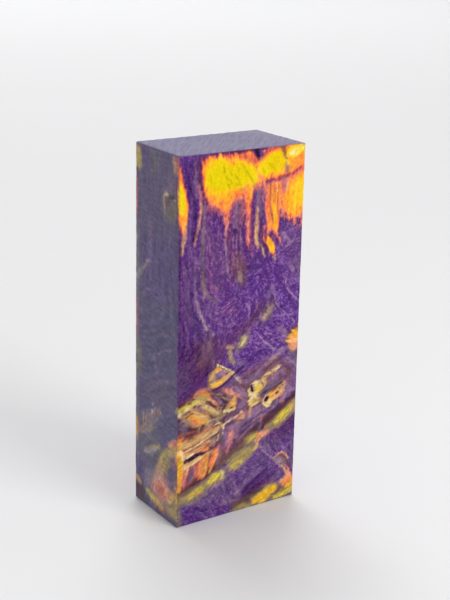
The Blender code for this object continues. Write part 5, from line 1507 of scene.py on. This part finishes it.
class Nodes:
    """A short way to put a material's nodes together."""

    def __init__(self, name):
        self.material = bpy.data.materials.new(name)
        self.material.use_nodes = True
        self.tree = self.material.node_tree
        self.shader = self.tree.nodes["Principled BSDF"]

    def add(self, kind, inputs=(), **settings):
        """A new node with its settings, and its inputs linked or set."""
        node = self.tree.nodes.new(kind)
        for name, value in settings.items():
            setattr(node, name, value)
        for name, value in dict(inputs).items():
            self.put(node.inputs[name], value)
        return node

    def put(self, socket, value):
        """Link a socket to another one, or set its value."""
        if isinstance(value, bpy.types.NodeSocket):
            self.tree.links.new(value, socket)
        else:
            socket.default_value = value

    def number(self, name):
        """A number that the mesh carries."""
        return self.add("ShaderNodeAttribute", attribute_name=name).outputs["Fac"]

    def colour(self, name):
        """A colour that the mesh carries."""
        return self.add("ShaderNodeAttribute", attribute_name=name).outputs["Color"]

    def maths(self, operation, *values, clamp=False):
        """One sum."""
        node = self.add("ShaderNodeMath", enumerate(values), operation=operation, use_clamp=clamp)
        return node.outputs[0]

    def between(self, value, low, high, to_low=0.0, to_high=1.0):
        """A value moved from one range to another, and kept in it."""
        inputs = {"Value": value, "From Min": low, "From Max": high, "To Min": to_low, "To Max": to_high}
        return self.add("ShaderNodeMapRange", inputs).outputs["Result"]

    def mix(self, share, first, second, blend="MIX"):
        """Two colours mixed."""
        node = self.add("ShaderNodeMix", data_type="RGBA", blend_type=blend)
        self.put(node.inputs["Factor"], share)
        self.put(node.inputs[MIX_FIRST], first)
        self.put(node.inputs[MIX_SECOND], second)
        return node.outputs[MIX_RESULT]

    def ramp(self, value, stops):
        """A colour ramp through display colours."""
        node = self.add("ShaderNodeValToRGB", {"Fac": value})
        elements = node.color_ramp.elements
        for place, _ in stops[1:-1]:
            elements.new(place)
        for element, (_, colour) in zip(elements, stops):
            element.color = (*linear(colour), 1.0)
        return node.outputs["Color"]

    def noise(self, place, cell, detail=2.0, roughness=0.5, swirl=0.0):
        """Noise with a cell size in millimetres, from 0 to 1."""
        inputs = {"Vector": place, "Scale": 1 / (cell * MM), "Detail": detail, "Roughness": roughness}
        inputs["Distortion"] = swirl
        return self.add("ShaderNodeTexNoise", inputs).outputs["Fac"]


def stretched(nodes, place, turn, stretch):
    """Object coordinates turned and stretched, for marks that run one way."""
    angles = [math.radians(angle) for angle in turn]
    inputs = {"Vector": place, "Rotation": angles, "Scale": stretch}
    return nodes.add("ShaderNodeMapping", inputs, vector_type="TEXTURE").outputs["Vector"]


def soaked_in(nodes, speckle, curl, fibre):
    """The colour of the dye and the stain, moved a little, most where two dyes meet."""
    heat = nodes.number("dye_heat")
    meeting = nodes.maths("MULTIPLY", heat, nodes.maths("SUBTRACT", 1.0, heat))
    from_curl = nodes.maths("MULTIPLY", curl, HEAT_BY_CURL)
    drift = nodes.maths("ADD", from_curl, nodes.maths("MULTIPLY", fibre, HEAT_BY_FIBRE))
    moving = nodes.maths("MULTIPLY_ADD", meeting, HEAT_WHERE_DYES_MEET, HEAT_ELSEWHERE)
    heat = nodes.maths("MULTIPLY_ADD", drift, moving, heat)
    heat = nodes.maths("MULTIPLY_ADD", speckle, HEAT_BY_SPECKLE, heat, clamp=True)

    light = nodes.maths("MULTIPLY", curl, VALUE_BY_CURL)
    light = nodes.maths("MULTIPLY_ADD", fibre, VALUE_BY_FIBRE, light)
    light = nodes.maths("MULTIPLY_ADD", speckle, VALUE_BY_SPECKLE, light)
    violet = nodes.between(heat, 0.05, 0.35, 1.0, VALUE_ON_WARM)
    value = nodes.maths("MULTIPLY_ADD", light, violet, nodes.number("dye_value"))
    paler = nodes.maths("MAXIMUM", value, 0.0)
    darker = nodes.maths("MULTIPLY", value, -1.0, clamp=True)
    colour = nodes.mix(paler, nodes.ramp(heat, PLAIN), nodes.ramp(heat, PALE))
    colour = nodes.mix(darker, colour, nodes.ramp(heat, DARK))

    patchy = nodes.maths("MULTIPLY_ADD", speckle, COVER_BY_SPECKLE, 1.0)
    cover = nodes.maths("MULTIPLY", nodes.number("stain_cover"), patchy, clamp=True)
    shade = nodes.maths("MULTIPLY_ADD", speckle, STAIN_BY_SPECKLE, nodes.maths("ADD", curl, fibre))
    shade = nodes.between(shade, -3.5, 3.5, STAIN_DARK, STAIN_LIGHT)
    return nodes.mix(cover, colour, nodes.mix(1.0, nodes.colour("stain"), shade, "MULTIPLY"))


def sanding_scratches(nodes, place, sanded):
    """Fine scratches: along the sides, and across the sawn ends."""
    brushed = nodes.noise(stretched(nodes, place, (8, 0, 0), (6.0, 6.0, 0.5)), SCRATCH_CELL)
    sawn = nodes.noise(stretched(nodes, place, (0, 0, 48), (9.0, 0.6, 1.0)), SCRATCH_CELL)
    on_end = nodes.between(sanded, 0.6, 0.65)
    swing = nodes.maths("MULTIPLY", nodes.maths("SUBTRACT", sawn, brushed), on_end)
    return nodes.maths("ADD", brushed, swing)


def under_dust_and_sheen(nodes, colour, sanded, scratches):
    """The colour under a pale haze that is partly dust raised by sanding and partly painted sheen,
    lightened and darkened along the scratches as a painted glint.
    """
    dull = nodes.between(sanded, 0.0, 0.2)
    streaked = nodes.between(scratches, 0.3, 0.7, -0.25, 0.25)
    # Painted glint: the colour lightened and darkened along the sanding scratches
    glint = nodes.maths("MULTIPLY_ADD", streaked, dull, 1.0)
    # Painted sheen mixed with sanding dust, laid over the colour as far as a side is sanded
    dust_and_sheen = nodes.mix(scratches, (*linear(DUST_AND_SHEEN_DARK), 1.0), (*linear(DUST_AND_SHEEN_PALE), 1.0))
    dust_and_sheen_share = nodes.maths("MULTIPLY", sanded, nodes.between(scratches, 0.3, 0.7, 0.85, 1.1), clamp=True)
    return nodes.mix(dust_and_sheen_share, nodes.mix(1.0, colour, glint, "MULTIPLY"), dust_and_sheen)


def fine_relief(nodes, curl, pores, scratches, sanded):
    """Relief that is too fine for the mesh."""
    height = nodes.maths("MULTIPLY", curl, CURL_DEPTH)
    height = nodes.maths("MULTIPLY_ADD", pores, -PORE_DEPTH, height)
    marks = nodes.maths("MULTIPLY", nodes.maths("SUBTRACT", scratches, 0.5), sanded)
    height = nodes.maths("MULTIPLY_ADD", marks, SCRATCH_DEPTH, height)
    inputs = {"Height": height, "Strength": BUMP_STRENGTH, "Distance": BUMP_HEIGHT * MM}
    return nodes.add("ShaderNodeBump", inputs).outputs["Normal"]


def dyed_burl():
    """Dyed, stabilized burl: glossy and deep in front, sawn and sanded dull elsewhere."""
    nodes = Nodes("dyed_burl")
    place = nodes.add("ShaderNodeTexCoord").outputs["Object"]
    sanded, curl, fibre = nodes.number("sanded"), nodes.number("curl"), nodes.number("fibre")
    speckle = nodes.maths("SUBTRACT", nodes.noise(place, SPECKLE_CELL, 2.0, 0.6, 0.8), 0.5)
    pricks = nodes.noise(stretched(nodes, place, (0, 20, 0), (1.0, 1.0, 3.0)), PORE_CELL, 1.0)
    pores = nodes.between(pricks, 0.30, 0.22)
    scratches = sanding_scratches(nodes, place, sanded)

    colour = soaked_in(nodes, speckle, curl, fibre)
    in_pores = nodes.maths("MULTIPLY", pores, PORE_SHARE)
    colour = nodes.mix(in_pores, colour, (*linear(PORE_COLOUR), 1.0))
    rough = nodes.between(sanded, 0.0, 0.5, FRONT_ROUGHNESS, SANDED_ROUGHNESS)
    rough = nodes.maths("MULTIPLY_ADD", speckle, SPECKLE_ROUGHNESS, rough)
    rough = nodes.maths("MULTIPLY_ADD", pores, PORE_ROUGHNESS, rough, clamp=True)

    shader = nodes.shader.inputs
    nodes.put(shader["Base Color"], under_dust_and_sheen(nodes, colour, sanded, scratches))
    nodes.put(shader["Roughness"], rough)
    nodes.put(shader["IOR"], RESIN_IOR)
    nodes.put(shader["Specular IOR Level"], SPECULAR)
    nodes.put(shader["Normal"], fine_relief(nodes, curl, pores, scratches, sanded))
    return nodes.material


def pale_paper():
    """The plain pale floor and backdrop."""
    nodes = Nodes("pale_paper")
    nodes.put(nodes.shader.inputs["Base Color"], (*linear(PAPER), 1.0))
    nodes.put(nodes.shader.inputs["Roughness"], PAPER_ROUGHNESS)
    nodes.put(nodes.shader.inputs["Specular IOR Level"], SPECULAR)
    return nodes.material


def make_backdrop():
    """A round floor that sweeps up into a wall on all sides."""
    profile = [(0.0, 0.0), (BLOCK_CLEAR, 0.0)]
    for step in range(SWEEP_STEPS + 1):
        angle = math.pi / 2 * step / SWEEP_STEPS
        profile.append((SWEEP_FLOOR + SWEEP_BEND * math.sin(angle), SWEEP_BEND * (1 - math.cos(angle))))
    profile.append((SWEEP_FLOOR + SWEEP_BEND, SWEEP_HIGH))
    shape = bmesh.new()
    line = [shape.verts.new((out * MM, 0, up * MM)) for out, up in profile]
    edges = [shape.edges.new(pair) for pair in zip(line, line[1:])]
    turned = {"axis": (0, 0, 1), "cent": (0, 0, 0), "steps": SWEEP_SIDES, "angle": math.tau}
    bmesh.ops.spin(shape, geom=line + edges, use_merge=True, **turned)
    bmesh.ops.remove_doubles(shape, verts=shape.verts, dist=0.1 * MM)
    bmesh.ops.recalc_face_normals(shape, faces=shape.faces)
    mesh = bpy.data.meshes.new("backdrop")
    shape.to_mesh(mesh)
    shape.free()
    mesh.shade_smooth()
    mesh.materials.append(pale_paper())
    backdrop = bpy.data.objects.new("backdrop", mesh)
    bpy.context.scene.collection.objects.link(backdrop)


def make_camera():
    """The camera at the photograph's place and angle."""
    turn, tilt, roll = [math.radians(angle) for angle in (CAMERA_TURN, CAMERA_TILT, CAMERA_ROLL)]
    back = Vector((math.sin(turn) * math.cos(tilt), -math.cos(turn) * math.cos(tilt), math.sin(tilt)))
    level_right = Vector((math.cos(turn), math.sin(turn), 0.0))
    level_up = back.cross(level_right)
    right = level_right * math.cos(roll) + level_up * math.sin(roll)
    up = level_up * math.cos(roll) - level_right * math.sin(roll)
    lens = bpy.data.cameras.new("camera")
    lens.sensor_width = SENSOR
    lens.lens = FOCAL_PIXELS * SENSOR / max(PHOTO_SIZE)
    lens.clip_start = NEAREST * MM
    lens.clip_end = FARTHEST * MM
    camera = bpy.data.objects.new("camera", lens)
    place = Vector(CAMERA_PLACE) * MM
    camera.matrix_world = Matrix.Translation(place) @ Matrix((right, up, back)).transposed().to_4x4()
    bpy.context.scene.collection.objects.link(camera)
    bpy.context.scene.camera = camera


def make_lamp(name, place, target, size, power):
    """A soft square lamp that points at its target."""
    light = bpy.data.lights.new(name, "AREA")
    light.size = size * MM
    light.energy = power
    lamp = bpy.data.objects.new(name, light)
    lamp.location = Vector(place) * MM
    aim = Vector(target) * MM - lamp.location
    lamp.rotation_euler = aim.to_track_quat("-Z", "Y").to_euler()
    bpy.context.scene.collection.objects.link(lamp)


def make_light():
    """Plain soft studio light."""
    world = bpy.data.worlds.new("studio")
    world.use_nodes = True
    world.node_tree.nodes["Background"].inputs["Color"].default_value = (1.0, 1.0, 1.0, 1.0)
    world.node_tree.nodes["Background"].inputs["Strength"].default_value = ROOM_LIGHT
    bpy.context.scene.world = world
    for name, lamp in LAMPS.items():
        make_lamp(name, *lamp)
    bpy.context.scene.view_settings.view_transform = "Standard"


def main():
    """Dress the block and set it up to be seen."""
    block = make_block()
    block.data.materials.append(dyed_burl())
    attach(block, "root")
    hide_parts(BLOCK_NODE)
    make_backdrop()
    make_light()
    make_camera()


main()
